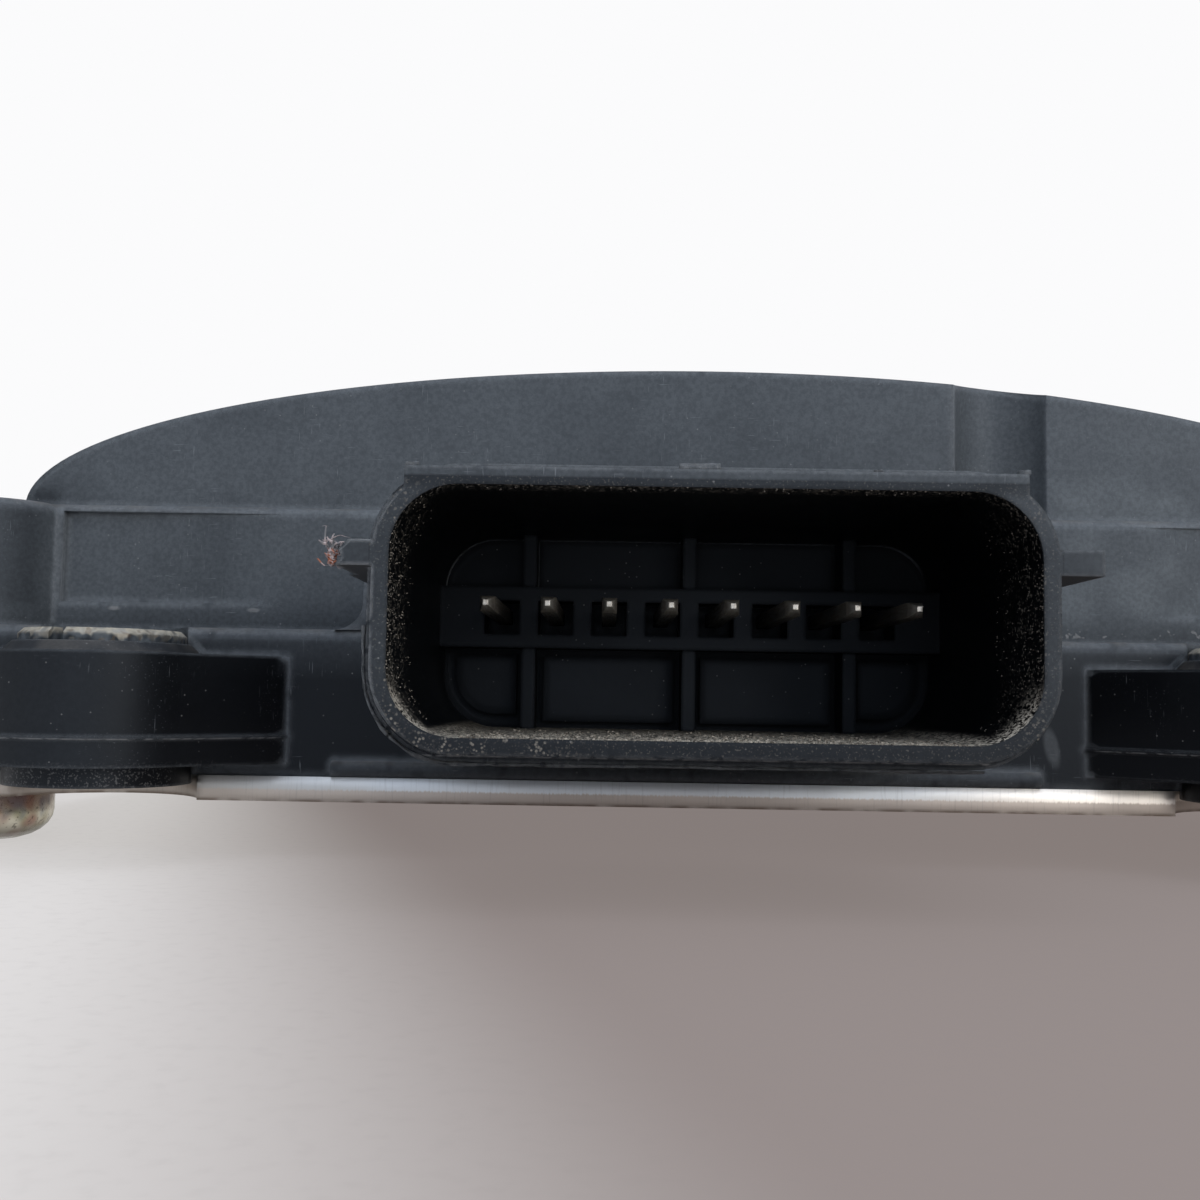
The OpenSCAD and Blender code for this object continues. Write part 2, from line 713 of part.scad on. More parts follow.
// Pan-head screw, head down at the origin, shank up
module pan_screw(shank_r, shank_l, hr, hh, recess) {
    point = shank_r * 0.6;
    curve = hh * 0.55;
    steps = 6;
    difference() {
        rotate_extrude($fn = round_fn) polygon(concat(
            [[0, 0], [hr, 0], [hr, -(hh - curve)]],
            [for (i = [1:steps]) let (a = 90 * i / steps)
                [hr - curve * 1.4 * (1 - cos(a)), -(hh - curve) - curve * sin(a)]],
            [[0, -hh]]
        ));
        translate([0, 0, -hh - eps]) linear_extrude(recess + eps) drive_plan(hr * 0.5);
    }
    translate([0, 0, -eps]) cylinder(r = shank_r, h = shank_l - point + eps, $fn = round_fn);
    translate([0, 0, shank_l - point - eps])
        cylinder(r1 = shank_r, r2 = shank_r * 0.6, h = point + eps, $fn = round_fn);
}

module plate_screw(sx, sy) {
    color("#b7b391") translate([sx * screw_x, sy * screw_y, 0])
        pan_screw(screw_r, screw_l, head_r, head_h, drive_depth);
}

// Rolled steel bush with its slit to the front
module ear_bush() {
    h = bush_top - boss_z;
    r = bush_r;
    c = bush_chamfer;
    color("#8f979c") translate([0, 0, boss_z]) difference() {
        rotate_extrude($fn = round_fn) polygon([[bush_bore_r, 0], [r - c, 0], [r, c], [r, h - c], [r - c, h],
            [bush_bore_r, h]]);
        rotate(bush_turn) span([-bush_slit / 2, -2 * r, -past], [bush_slit / 2, 0, h + past]);
    }
}

// Outline of a pin's straight end, tip towards -y
module pin_blade(l) {
    s = pin_side / 2;
    t = pin_tip_side / 2;
    polygon([[-t, 0], [t, 0], [s, pin_tip_l], [s, l], [-s, l], [-s, pin_tip_l]]);
}

// Square contact pin: straight through the wall, then bent down into the main board
module contact_pin(i) {
    x = pin_xs[min(i, pin_count) - 1];
    bend = pin_bend + pin_side / 2;
    run = pin_row_y - bend - tip_y;
    down = pin_z - bend - (board_z - pin_through);
    color("#b9b6ae") translate([x, tip_y, pin_z]) {
        intersection() {
            translate([0, 0, -pin_side]) linear_extrude(2 * pin_side) pin_blade(run + eps);
            rotate([0, 90, 0]) translate([0, 0, -pin_side]) linear_extrude(2 * pin_side) pin_blade(run + eps);
        }
        translate([0, run, -bend]) rotate([90, 0, 90]) rotate_extrude(angle = 90, $fn = 48)
            translate([bend, 0]) square(pin_side, center = true);
        translate([0, run + bend, -bend - down / 2 + eps / 2])
            cube([pin_side, pin_side, down + eps], center = true);
    }
}

// Sealing resin round the pins on the inner side of the wall
module pin_potting() {
    g = fit_gap;
    half = [potting_w / 2 - g, potting_h / 2 - g];
    color("#1d2730") difference() {
        span([conn_x - half[0], -cavity_y - potting_t + g, pin_z - half[1]],
            [conn_x + half[0], -cavity_y, pin_z + half[1]]);
        for (x = pin_xs) span([x, -cavity_y - potting_t - past, pin_z] - (pin_side / 2 + g) * [1, 0, 1],
            [x, -cavity_y + past, pin_z] + (pin_side / 2 + g) * [1, 0, 1]);
    }
}

// Main circuit board with its pin and screw holes
module main_board() {
    color("#2c5a3c") translate([0, 0, board_z]) linear_extrude(board_t) difference() {
        inner_plan(-board_clear);
        for (x = pin_xs) translate([x, pin_row_y]) circle(pin_side * 0.5 * sqrt(2) + fit_gap, $fn = 16);
        for (sx = [-1, 1], sy = [-1, 1])
            translate([sx * post_x, sy * post_y]) circle(post_screw_r + 4 * screw_gap, $fn = 32);
    }
}

// Antenna board with its patch rows, on top of the shield frame
module antenna_board() {
    patch = [2.6, 3.2];
    patch_t = 0.05;
    rows = 6;
    columns = 7;
    patch_step = [5.4, 5.6];
    color("#c8b98a") translate([0, frame_back, antenna_z]) {
        linear_extrude(antenna_t) square([frame_w, frame_d], center = true);
        for (i = [0:columns - 1], j = [0:rows - 1])
            let (x = (i - (columns - 1) / 2) * patch_step[0], y = (j - (rows - 1) / 2) * patch_step[1])
            translate([x, y, antenna_t])
            linear_extrude(2 * patch_t, center = true) square(patch, center = true);
    }
}

// Cast frame that spaces and screens the two boards
module shield_frame() {
    color("#a7aaab") translate([0, frame_back, board_top]) linear_extrude(frame_h) {
        difference() {
            square([frame_w, frame_d], center = true);
            square([frame_w - 2 * frame_wall, frame_d - 2 * frame_wall], center = true);
        }
        square([frame_w - frame_wall, frame_wall], center = true);
    }
}

module board_screw(sx, sy) {
    color("#9a9a94") translate([sx * post_x, sy * post_y, board_z])
        pan_screw(post_screw_r, post_screw_l, post_head_r, post_head_h, post_head_h / 2);
}

// Chip body with a row of bent leads along two or four of its sides, feet at z = 0
module leaded_chip(size, leads, sides) {
    lift = 0.1;
    translate([0, 0, lift + (size[2] - lift) / 2])
        cube([size[0], size[1], size[2] - lift], center = true);
    for (q = [0:sides - 1]) rotate(q * 360 / sides) {
        half = (sides == 4 ? size[0] : size[1]) / 2;
        along = sides == 4 ? size[1] : size[0];
        step = along / (leads + 1);
        mid = size[2] / 2;
        knee = -half - lead_out / 2;
        w = lead_w / 2;
        for (i = [1:leads]) translate([i * step - along / 2, 0, 0]) {
            span([-w, knee, mid], [w, -half + eps, mid + lead_t]);
            span([-w, knee, 0], [w, knee + lead_t, mid + eps]);
            span([-w, -half - lead_out, 0], [w, knee + eps, lead_t]);
        }
    }
}

// Puts its children upside down under a board whose lower face is at z
module under(x, y, z) {
    translate([x, y, z]) rotate([180, 0, 0]) children();
}

module microcontroller() {
    color("#26282a") under(micro_pos[0], micro_pos[1], board_z)
        leaded_chip([micro_side, micro_side, micro_h], micro_leads, 4);
}

// Soft pad that carries heat from the microcontroller to the back plate
module thermal_pad() {
    side = micro_side - 2;
    color("#8a97a5") translate([micro_pos[0], micro_pos[1], plate_t])
        linear_extrude(board_gap - micro_h) square(side, center = true);
}

// Radar chip under the antenna board, with its row of solder balls
module radar_chip(x) {
    ball = 0.2;
    n = 6;
    color("#303336") under(x, radar_y, antenna_z) {
        translate([0, 0, ball]) linear_extrude(radar_h - ball) square(radar_side, center = true);
        for (i = [0:n - 1], j = [0, n - 1]) translate([(i + 0.5) / n - 0.5, (j + 0.5) / n - 0.5] * radar_side)
            cylinder(r = ball, h = ball + eps, $fn = 16);
    }
}

module bus_transceiver() {
    color("#26282a") translate([bus_pos[0], bus_pos[1], board_top]) leaded_chip(bus_size, bus_leads, 2);
}

module voltage_regulator() {
    color("#2b2d2f") translate([reg_pos[0], reg_pos[1], board_top]) leaded_chip(reg_size, reg_leads, 2);
}

// Can capacitor on its square base
module power_capacitor(i) {
    base_h = 0.8;
    waist = base_h + 0.5;
    lip = 0.3;
    color("#b4b7b9") translate([cap_pos[0] - (i - 1) * cap_step, cap_pos[1], board_top]) {
        linear_extrude(base_h) square(2 * cap_r, center = true);
        rotate_extrude($fn = round_fn) polygon([[0, base_h - eps], [cap_r, base_h - eps],
            [cap_r, waist], [cap_r - lip, waist + lip], [cap_r - lip, waist + 2 * lip],
            [cap_r, waist + 3 * lip], [cap_r, cap_h - lip], [cap_r - lip, cap_h], [0, cap_h]]);
    }
}

// Moulded power inductor with its two end straps
module power_inductor() {
    strap = 0.3;
    corner = 0.8;
    color("#3a3b3d") translate([coil_pos[0], coil_pos[1], board_top]) {
        translate([0, 0, strap]) linear_extrude(coil_h - strap) difference() {
            square(coil_side, center = true);
            for (s = [-1, 1], t = [-1, 1]) translate([s, t] * coil_side / 2) circle(corner, $fn = 16);
        }
        for (s = [-1, 1]) translate([s * coil_side * 0.3, 0, strap])
            cube([coil_side * 0.3, coil_side * 0.5, 2 * strap], center = true);
    }
}

// Crystal can: a base with a smaller lid on it
module clock_crystal() {
    rim = 0.6;
    color("#c2c4c4") translate([crystal_pos[0], crystal_pos[1], board_top]) {
        linear_extrude(crystal_size[2] * 0.6) square([crystal_size[0], crystal_size[1]], center = true);
        linear_extrude(crystal_size[2]) square([crystal_size[0] - rim, crystal_size[1] - rim], center = true);
    }
}

// Puts its children at each way of the board link
module at_link_ways() {
    first_x = link_x - (link_ways - 1) / 2 * link_pitch;
    for (i = [0:link_ways - 1], s = [-1, 1])
        translate([first_x + i * link_pitch, link_y + s * link_pitch / 2, 0]) children();
}

// Pin header on the main board
module link_header() {
    color("#2a2a2c") {
        translate([link_x, link_y, board_top])
            linear_extrude(link_split - board_top) square([link_w, link_d], center = true);
        at_link_ways() translate([-link_pin / 2, -link_pin / 2, link_split - eps])
            cube([link_pin, link_pin, (antenna_z - link_split) * 0.7]);
    }
}

// Socket under the antenna board, which takes the header's pins
module link_socket() {
    hole = link_pin + 4 * fit_gap;
    color("#35363a") translate([0, 0, link_split]) linear_extrude(antenna_z - link_split) difference() {
        translate([link_x, link_y]) square([link_w, link_d], center = true);
        at_link_ways() square(hole, center = true);
    }
}

housing();
back_plate();
plate_seal();
plate_screw(-1, -1);  // plate_screw_front_left
plate_screw(1, -1);  // plate_screw_front_right
plate_screw(-1, 1);  // plate_screw_rear_left
plate_screw(1, 1);  // plate_screw_rear_right
translate([conn_x - ear_x, front_ear_y, 0]) ear_bush();  // ear_bush_left
translate([conn_x + ear_x, front_ear_y, 0]) ear_bush();  // ear_bush_right
translate([0, rear_ear_y, 0]) rotate(180) ear_bush();  // ear_bush_rear
contact_pin(1);  // contact_pin_1
contact_pin(2);  // contact_pin_2
contact_pin(3);  // contact_pin_3
contact_pin(4);  // contact_pin_4
contact_pin(5);  // contact_pin_5
contact_pin(6);  // contact_pin_6
contact_pin(7);  // contact_pin_7
contact_pin(8);  // contact_pin_8
pin_potting();
main_board();
antenna_board();
shield_frame();
board_screw(-1, -1);  // board_screw_1
board_screw(1, -1);  // board_screw_2
board_screw(-1, 1);  // board_screw_3
board_screw(1, 1);  // board_screw_4
microcontroller();
thermal_pad();
radar_chip(-radar_gap);  // radar_transmitter
radar_chip(radar_gap);  // radar_receiver
bus_transceiver();
voltage_regulator();
power_capacitor(1);  // power_capacitor_1
power_capacitor(2);  // power_capacitor_2
power_inductor();
clock_crystal();
link_header();
link_socket();
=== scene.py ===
import json
import random

import bpy
from mathutils import Matrix, Vector


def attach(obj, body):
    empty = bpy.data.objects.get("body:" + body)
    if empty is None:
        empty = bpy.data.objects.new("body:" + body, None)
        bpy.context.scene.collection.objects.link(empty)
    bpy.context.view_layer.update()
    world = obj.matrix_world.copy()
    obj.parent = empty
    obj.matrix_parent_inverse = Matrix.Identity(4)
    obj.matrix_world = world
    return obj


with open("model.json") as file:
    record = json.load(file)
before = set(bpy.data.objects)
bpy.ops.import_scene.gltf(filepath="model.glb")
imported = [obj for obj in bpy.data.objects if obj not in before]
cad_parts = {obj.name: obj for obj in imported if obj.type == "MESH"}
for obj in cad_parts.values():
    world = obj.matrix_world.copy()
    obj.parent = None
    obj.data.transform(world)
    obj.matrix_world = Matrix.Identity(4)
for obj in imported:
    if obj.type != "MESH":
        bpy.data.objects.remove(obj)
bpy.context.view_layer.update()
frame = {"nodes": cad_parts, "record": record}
nodes = frame["nodes"]
mm = 0.001
quarterTurn = 1.5708
print("frame loaded:", len(nodes), "nodes")


def fromHex(code):
    # sRGB hex to the linear colour that the shaders take
    parts = [int(code[i:i + 2], 16) / 255 for i in (1, 3, 5)]
    return [c / 12.92 if c <= 0.04045 else ((c + 0.055) / 1.055) ** 2.4 for c in parts] + [1.0]


def addNode(tree, kind, inputs=None, **settings):
    # one node; each input takes a value, a hex colour, another node or one of its sockets
    made = tree.nodes.new("ShaderNode" + kind)
    for name, value in settings.items():
        setattr(made, name, value)
    for name, value in (inputs or {}).items():
        if isinstance(value, str):
            value = fromHex(value)
        if isinstance(value, bpy.types.Node):
            value = next(socket for socket in value.outputs if socket.enabled)
        if isinstance(value, bpy.types.NodeSocket):
            tree.links.new(value, made.inputs[name])
        else:
            made.inputs[name].default_value = value
    return made


def newMaterial(name):
    # an empty material, its nodes and the object's own coordinates
    made = bpy.data.materials.new(name)
    made.use_nodes = True
    made.node_tree.nodes.clear()
    return made, made.node_tree, addNode(made.node_tree, "TexCoord").outputs["Object"]


def finishMaterial(tree, shader):
    addNode(tree, "OutputMaterial", {"Surface": shader})


def layered(tree, colour, *coats):
    # colours laid one over another, each where its mask is
    for over, share in coats:
        colour = addNode(tree, "Mix", {0: share, 6: colour, 7: over}, data_type="RGBA").outputs[2]
    return colour


def mask(tree, *parts):
    # where all the parts meet; a part is a mask, a share, or a soft step of a value between two levels:
    # (value, start, end), or (value, start, end, low, high)
    total = None
    for part in parts:
        if isinstance(part, tuple):
            value, start, end, low, high = part if len(part) == 5 else part + (0.0, 1.0)
            part = addNode(tree, "MapRange", {"Value": value, "From Min": start, "From Max": end,
                                              "To Min": low, "To Max": high}, interpolation_type="SMOOTHSTEP")
        total = part if total is None else addNode(tree, "Math", {0: total, 1: part}, operation="MULTIPLY")
    return total


def speckle(tree, place, size, low, high, stretch=(1, 1, 1), seed=0.0):
    # grains of a real size, where a noise passes from low to high
    moved = addNode(tree, "Mapping", {"Vector": place, "Scale": stretch, "Location": (seed, seed * 0.7, seed * 1.3)})
    noise = addNode(tree, "TexNoise", {"Vector": moved, "Scale": 1 / size, "Detail": 1.0, "Roughness": 0.6})
    return mask(tree, (noise, low, high))


def flecks(tree, place, spacing, size, seed=0.0):
    # small round specks of a real size, a spacing apart
    moved = addNode(tree, "Mapping", {"Vector": place, "Location": (seed, seed * 0.7, seed * 1.3)})
    cells = addNode(tree, "TexVoronoi", {"Vector": moved, "Scale": 1 / spacing, "Randomness": 1.0})
    return mask(tree, (cells.outputs["Distance"], size / spacing, 0.6 * size / spacing))


def awayFrom(tree, value, middle):
    # how far a value is from a middle, on either side
    return addNode(tree, "Math", {0: addNode(tree, "Math", {0: value, 1: middle}, operation="SUBTRACT")},
                   operation="ABSOLUTE")


# Glass-filled PBT from a spark-eroded mould. The eye sees a blue-grey that is almost black where a plug
# covered it, with painted shade in the mouth, and hazed grey where weather reached it, with painted light from above
# that grows upwards; a fine matt skin, pale rubbed edges with painted highlights, painted light and shade on steps,
# ears, a column, a leaf by the shroud and the right side, hairline scratches, tiny specks, and road dust caught in
# the shroud.
pbtLook = {"clean": "#060709", "coveredAndShaded": "#040507", "hazedAndLit": "#4a4f53", "whitened": "#a4a8aa", "stepLight": "#7c8186",
           "bleachedAndLit": "#5f6569", "rubbedAndLit": "#81878c", "speck": "#8f9090", "dust": "#c9c3b5", "deepDustLit": "#dcd6c8",
           "dustDark": "#6a665f", "rimDust": "#9a958b", "roughness": 0.45, "grain": 0.22 * mm, "blotch": 7 * mm,
           "edge": 0.22 * mm, "wallEdge": 0.6 * mm, "leafLight": "#565a5d", "hazeLightFrom": 4.4 * mm, "hazeLightTo": 14.5 * mm,
           "wallHazeLightFrom": 5.9 * mm, "rightHazeLightFrom": 7.35 * mm, "wallHazeLightTo": 10.4 * mm, "partingZ": 3.07 * mm,
           "earFront": -35 * mm}
mouth = {"x": -1.5 * mm, "y": -51.3 * mm, "backY": -33 * mm, "z": 8.35 * mm, "halfW": 11.85 * mm,
         "halfH": 4.6 * mm, "rim": 0.65 * mm, "cornerR": 2.5 * mm}
leafLightAt = {"x": 16.3 * mm, "z": 3.2 * mm, "halfW": 0.42 * mm, "halfH": 1.1 * mm}
pitsAt = {"x": -27.8 * mm, "apart": 3.7 * mm, "z": 9.57 * mm, "halfW": 0.36 * mm, "halfH": 0.13 * mm}
wallY = -34.4 * mm  # the body's front wall
shroudY = -36 * mm  # where the shroud is clear of it
mouldedPbt, tree, place = newMaterial("moulded glass-filled PBT")
x, y, z = addNode(tree, "SeparateXYZ", {0: place}).outputs
facing = addNode(tree, "NewGeometry").outputs["Normal"]
facingParts = addNode(tree, "SeparateXYZ", {0: facing})
facingUp, facingAside = facingParts.outputs["Z"], facingParts.outputs["X"]
# edges are softer on the body than on the shroud and the ears
wallEdges = mask(tree, (y, wallY - 0.2 * mm, wallY + 0.2 * mm, pbtLook["edge"], pbtLook["wallEdge"]))
rounded = addNode(tree, "Bevel", {"Radius": wallEdges}, samples=2)
turnedBy = addNode(tree, "VectorMath", {0: rounded, 1: facing}, operation="DOT_PRODUCT").outputs["Value"]
grain = addNode(tree, "TexNoise", {"Vector": place, "Scale": 1 / pbtLook["grain"], "Detail": 3.0, "Roughness": 0.65})
blotch = addNode(tree, "TexNoise", {"Vector": place, "Scale": 1 / pbtLook["blotch"], "Detail": 3.0, "Roughness": 0.6})

sideways = awayFrom(tree, x, mouth["x"])
upDown = awayFrom(tree, z, mouth["z"])
outward = addNode(tree, "Math", {0: x}, operation="ABSOLUTE")
# how far out from the mouth's rounded outline, measured from the middle of its corners
cornerX = addNode(tree, "Math", {0: sideways, 1: mouth["halfW"] - mouth["cornerR"]}, operation="SUBTRACT",
                  use_clamp=True)
cornerZ = addNode(tree, "Math", {0: upDown, 1: mouth["halfH"] - mouth["cornerR"]}, operation="SUBTRACT",
                  use_clamp=True)
fromMouth = addNode(tree, "VectorMath", {0: addNode(tree, "CombineXYZ", {0: cornerX, 2: cornerZ})},
                    operation="LENGTH").outputs["Value"]

# where the plug sat: the mouth's inside, and the rim round it; no weather reached it, and the mouth's inside is also
# darkened as painted shade
inMouth = mask(tree, (sideways, mouth["halfW"] + 0.1 * mm, mouth["halfW"] + 0.04 * mm),
               (upDown, mouth["halfH"] + 0.1 * mm, mouth["halfH"] + 0.04 * mm),
               (y, mouth["backY"], mouth["backY"] - 0.3 * mm))
onRim = mask(tree, (y, mouth["y"] + 0.15 * mm, mouth["y"] + 0.05 * mm), (z, 13.34 * mm, 13.16 * mm),
             (sideways, mouth["halfW"] + mouth["rim"] + 0.1 * mm, mouth["halfW"] + mouth["rim"]),
             (upDown, mouth["halfH"] + mouth["rim"] + 0.1 * mm, mouth["halfH"] + mouth["rim"]))

# weather haze and painted light from above grow upwards together and are blotchy
onShroud = mask(tree, (y, shroudY, shroudY - 2 * mm))
wallFrom = mask(tree, (x, 12 * mm, 24 * mm, pbtLook["wallHazeLightFrom"], pbtLook["rightHazeLightFrom"]))
hazeLightFrom = mask(tree, (onShroud, 0, 1, wallFrom, pbtLook["hazeLightFrom"]))
hazeLightTo = mask(tree, (onShroud, 0, 1, pbtLook["wallHazeLightTo"], pbtLook["hazeLightTo"]))
height = addNode(tree, "MapRange", {"Value": z, "From Min": hazeLightFrom, "From Max": hazeLightTo})
coveredAndShaded = addNode(tree, "Math", {0: inMouth, 1: onRim}, operation="MAXIMUM")
bare = addNode(tree, "Math", {0: 1.0, 1: coveredAndShaded}, operation="SUBTRACT", use_clamp=True)
# painted shade: the ears take little haze, so their flanks beside the shroud stay dark, with a little painted light
# on their outer faces
onEar = mask(tree, (outward, 17.5 * mm, 18 * mm), (y, wallY, wallY - 0.2 * mm), (z, 7.9 * mm, 7.5 * mm))
bareWall = addNode(tree, "Math", {0: bare, 1: mask(tree, onEar, 0.85)}, operation="SUBTRACT", use_clamp=True)
rimHazeLight = mask(tree, onRim, (z, 3.3 * mm, 7 * mm, 0.13, 0.42), (z, 12.6 * mm, 13.1 * mm, 1.0, 0.45))
earHazeLight = mask(tree, onEar, (sideways, 25.4 * mm, 27.2 * mm), 0.11)
rimHazeLight = addNode(tree, "Math", {0: rimHazeLight, 1: earHazeLight}, operation="MAXIMUM")
wallHazeLight = mask(tree, height, bareWall, (blotch, 0.2, 0.8, 0.86, 1.1), (onShroud, 0, 1, 1.0, 0.82))
hazeAndLight = addNode(tree, "Math", {0: wallHazeLight, 1: rimHazeLight}, operation="MAXIMUM")
colour = layered(tree, pbtLook["clean"], (pbtLook["coveredAndShaded"], inMouth), (pbtLook["hazedAndLit"], hazeAndLight))
# painted light from the right: the haze is lightened towards the right and at mid height, in sun-bleached blotches
lightFromRight = mask(tree, (x, -20 * mm, 36 * mm, 0.12, 0.75), (z, 8 * mm, 11 * mm, 0.0, 1.0),
               (z, 16 * mm, 18 * mm, 1.0, 0.35))
bleachedAndLit = mask(tree, hazeAndLight, speckle(tree, place, 2.6 * mm, 0.3, 0.7, seed=5.3), lightFromRight)
colour = layered(tree, colour, (pbtLook["bleachedAndLit"], bleachedAndLit))

# painted shade: the left column's foot is darker
paintedColumnShade = mask(tree, (x, -38.6 * mm, -36.2 * mm), (x, -34.6 * mm, -35.6 * mm), (z, 16.6 * mm, 15.6 * mm),
               (z, 9.0 * mm, 10.2 * mm), 0.55)
colour = layered(tree, colour, (pbtLook["clean"], paintedColumnShade))

# painted light: the panels' steps are lightened where they turn down or inwards, against their shade
inStep = addNode(tree, "Math", {0: mask(tree, (facingUp, -0.3, -0.8)), 1: mask(tree, (facingAside, 0.3, 0.8))},
                 operation="MAXIMUM")
inStep = mask(tree, inStep, (y, wallY + 0.2 * mm, wallY + 0.4 * mm), (y, -27 * mm, -28 * mm),
              (z, 9.3 * mm, 9.6 * mm), (outward, 34.3 * mm, 34.1 * mm))
colour = layered(tree, colour, (pbtLook["stepLight"], inStep))

# rubbed edges with a painted highlight along them, broken up so that they don't run as an even line
edges = mask(tree, (turnedBy, 0.995, 0.9), speckle(tree, place, 0.9 * mm, 0.1, 0.5), bare,
             (y, wallY - 0.2 * mm, wallY + 0.2 * mm, 0.45, 0.85))
colour = layered(tree, colour, (pbtLook["rubbedAndLit"], edges))

# the shroud's front edges are whitened, most on its left and along the torn rail
whitened = mask(tree, (turnedBy, 0.99, 0.93), (y, mouth["y"] + 1.5 * mm, mouth["y"] + 1.1 * mm),
                (fromMouth, mouth["cornerR"] + 0.32 * mm, mouth["cornerR"] + 0.42 * mm),
                speckle(tree, place, 0.35 * mm, 0.3, 0.5, seed=9.3), (x, -12.8 * mm, -13.4 * mm, 0.3, 0.85))
colour = layered(tree, colour, (pbtLook["whitened"], whitened))

# dust film on what faces up
film = mask(tree, (facingUp, 0.25, 0.95), speckle(tree, place, 1.6 * mm, 0.3, 0.75), bare, 0.35)
colour = layered(tree, colour, (pbtLook["dustDark"], film))

# hairline scratches: two directions, each long one way and thin the other
scratches = 0.0
for stretch, seed in (((0.05, 1, 1), 0.31), ((0.8, 1, 0.05), 0.77)):
    scratches = addNode(tree, "Math", {0: scratches, 1: speckle(tree, place, 0.06 * mm, 0.70, 0.76, stretch, seed)},
                        operation="ADD", use_clamp=True)
scratches = mask(tree, scratches, speckle(tree, place, 5 * mm, 0.47, 0.6, seed=3.1), bare)
colour = layered(tree, colour, (pbtLook["rubbedAndLit"], mask(tree, scratches, 0.35)))

# pale broken flash along the ears' parting line
parting = mask(tree, (awayFrom(tree, z, pbtLook["partingZ"]), 0.05 * mm, 0.015 * mm),
               (y, pbtLook["earFront"] + 0.7 * mm, pbtLook["earFront"] + 0.3 * mm),
               speckle(tree, place, 0.5 * mm, 0.35, 0.55, seed=4.4), 0.5)
colour = layered(tree, colour, (pbtLook["speck"], parting))

# a painted highlight, leaf-shaped, on the skirt beside the shroud's right foot
leafAcross = addNode(tree, "Math", {0: x, 1: 1 / leafLightAt["halfW"], 2: -leafLightAt["x"] / leafLightAt["halfW"]},
                      operation="MULTIPLY_ADD")
leafUp = addNode(tree, "Math", {0: z, 1: 1 / leafLightAt["halfH"], 2: -leafLightAt["z"] / leafLightAt["halfH"]},
                  operation="MULTIPLY_ADD")
leafLean = addNode(tree, "Math", {0: leafAcross, 1: mask(tree, leafUp, 0.5)}, operation="ADD")
leafReach = addNode(tree, "VectorMath", {0: addNode(tree, "CombineXYZ", {0: leafLean, 1: leafUp})},
                     operation="LENGTH").outputs["Value"]
leafLight = mask(tree, (leafReach, 1.1, 0.5), (y, wallY - 0.2 * mm, wallY + 0.1 * mm),
             (y, mouth["backY"], mouth["backY"] - 0.5 * mm), 0.55)
colour = layered(tree, colour, (pbtLook["leafLight"], leafLight))

# two pale pits low on the left wall, and a row of small ones on the right
pitAcross = addNode(tree, "Math", {0: awayFrom(tree, x, pitsAt["x"]), 1: 1 / pitsAt["halfW"],
                                   2: -pitsAt["apart"] / pitsAt["halfW"]}, operation="MULTIPLY_ADD")
pitUp = addNode(tree, "Math", {0: z, 1: 1 / pitsAt["halfH"], 2: -pitsAt["z"] / pitsAt["halfH"]},
                operation="MULTIPLY_ADD")
pit = addNode(tree, "VectorMath", {0: addNode(tree, "CombineXYZ", {0: pitAcross, 1: pitUp})},
              operation="LENGTH").outputs["Value"]
pitRow = mask(tree, (z, 8.7 * mm, 8.85 * mm), (z, 9.35 * mm, 9.2 * mm), (x, 16 * mm, 18 * mm),
              speckle(tree, place, 0.3 * mm, 0.6, 0.68, seed=2.4))
pits = mask(tree, addNode(tree, "Math", {0: mask(tree, (pit, 1.2, 0.4)), 1: pitRow}, operation="MAXIMUM"),
            (y, wallY - 0.2 * mm, wallY), 0.45)
colour = layered(tree, colour, (pbtLook["speck"], pits))

# tiny pale specks all over, and dirt that clings to the foot and the bosses
specks = mask(tree, flecks(tree, place, 0.5 * mm, 0.045 * mm, 0.4),
              speckle(tree, place, 4 * mm, 0.38, 0.6, seed=2.7), 0.4)
low = mask(tree, (z, 2.2 * mm, 1.4 * mm))
grime = mask(tree, low, speckle(tree, place, 0.11 * mm, 0.56, 0.66, seed=6.1), (y, shroudY, shroudY - 1 * mm), 0.3)
specks = addNode(tree, "Math", {0: specks, 1: grime}, operation="MAXIMUM")
colour = layered(tree, colour, (pbtLook["speck"], specks))

# road dust in the shroud: thick at its lower lip, scattered on its side walls, its roof's edge and its rim
fineFlecks = flecks(tree, place, 0.16 * mm, 0.065 * mm, 0.2)
flat = mask(tree, (facingUp, 0.85, 0.98))
deep = mask(tree, (y, mouth["backY"], mouth["backY"] - 13 * mm, 0.45, 1.0))
lipward = mask(tree, (y, mouth["y"] + 2.9 * mm, mouth["y"] + 0.4 * mm))
onCorner = mask(tree, (facingUp, 0.0, 0.6), lipward)
onFloor = mask(tree, inMouth, addNode(tree, "Math", {0: mask(tree, flat, deep), 1: onCorner}, operation="MAXIMUM"),
               speckle(tree, place, 0.11 * mm, 0.4, 0.54, (1, 0.3, 1), 0.9), 0.95)
onSides = mask(tree, inMouth, (sideways, mouth["halfW"] - 1.4 * mm, mouth["halfW"] - 0.2 * mm),
               (y, mouth["y"] + 6.3 * mm, mouth["y"] + 1.3 * mm), fineFlecks,
               speckle(tree, place, 0.7 * mm, 0.35, 0.6, seed=7.1), (x, 0, 2 * mm, 0.5, 0.3))
onRoof = mask(tree, inMouth, (facingUp, -0.5, -0.9), (y, mouth["y"] + 1.9 * mm, mouth["y"] + 0.3 * mm),
              speckle(tree, place, 0.12 * mm, 0.58, 0.64, seed=7.7), 0.5)
lowerLeft = mask(tree, onRim, (z, 4.2 * mm, 3.7 * mm), (x, -5.8 * mm, -7.5 * mm))
thinOnRim = mask(tree, onRim, speckle(tree, place, 0.08 * mm, 0.6, 0.7, seed=2.2), 0.16)
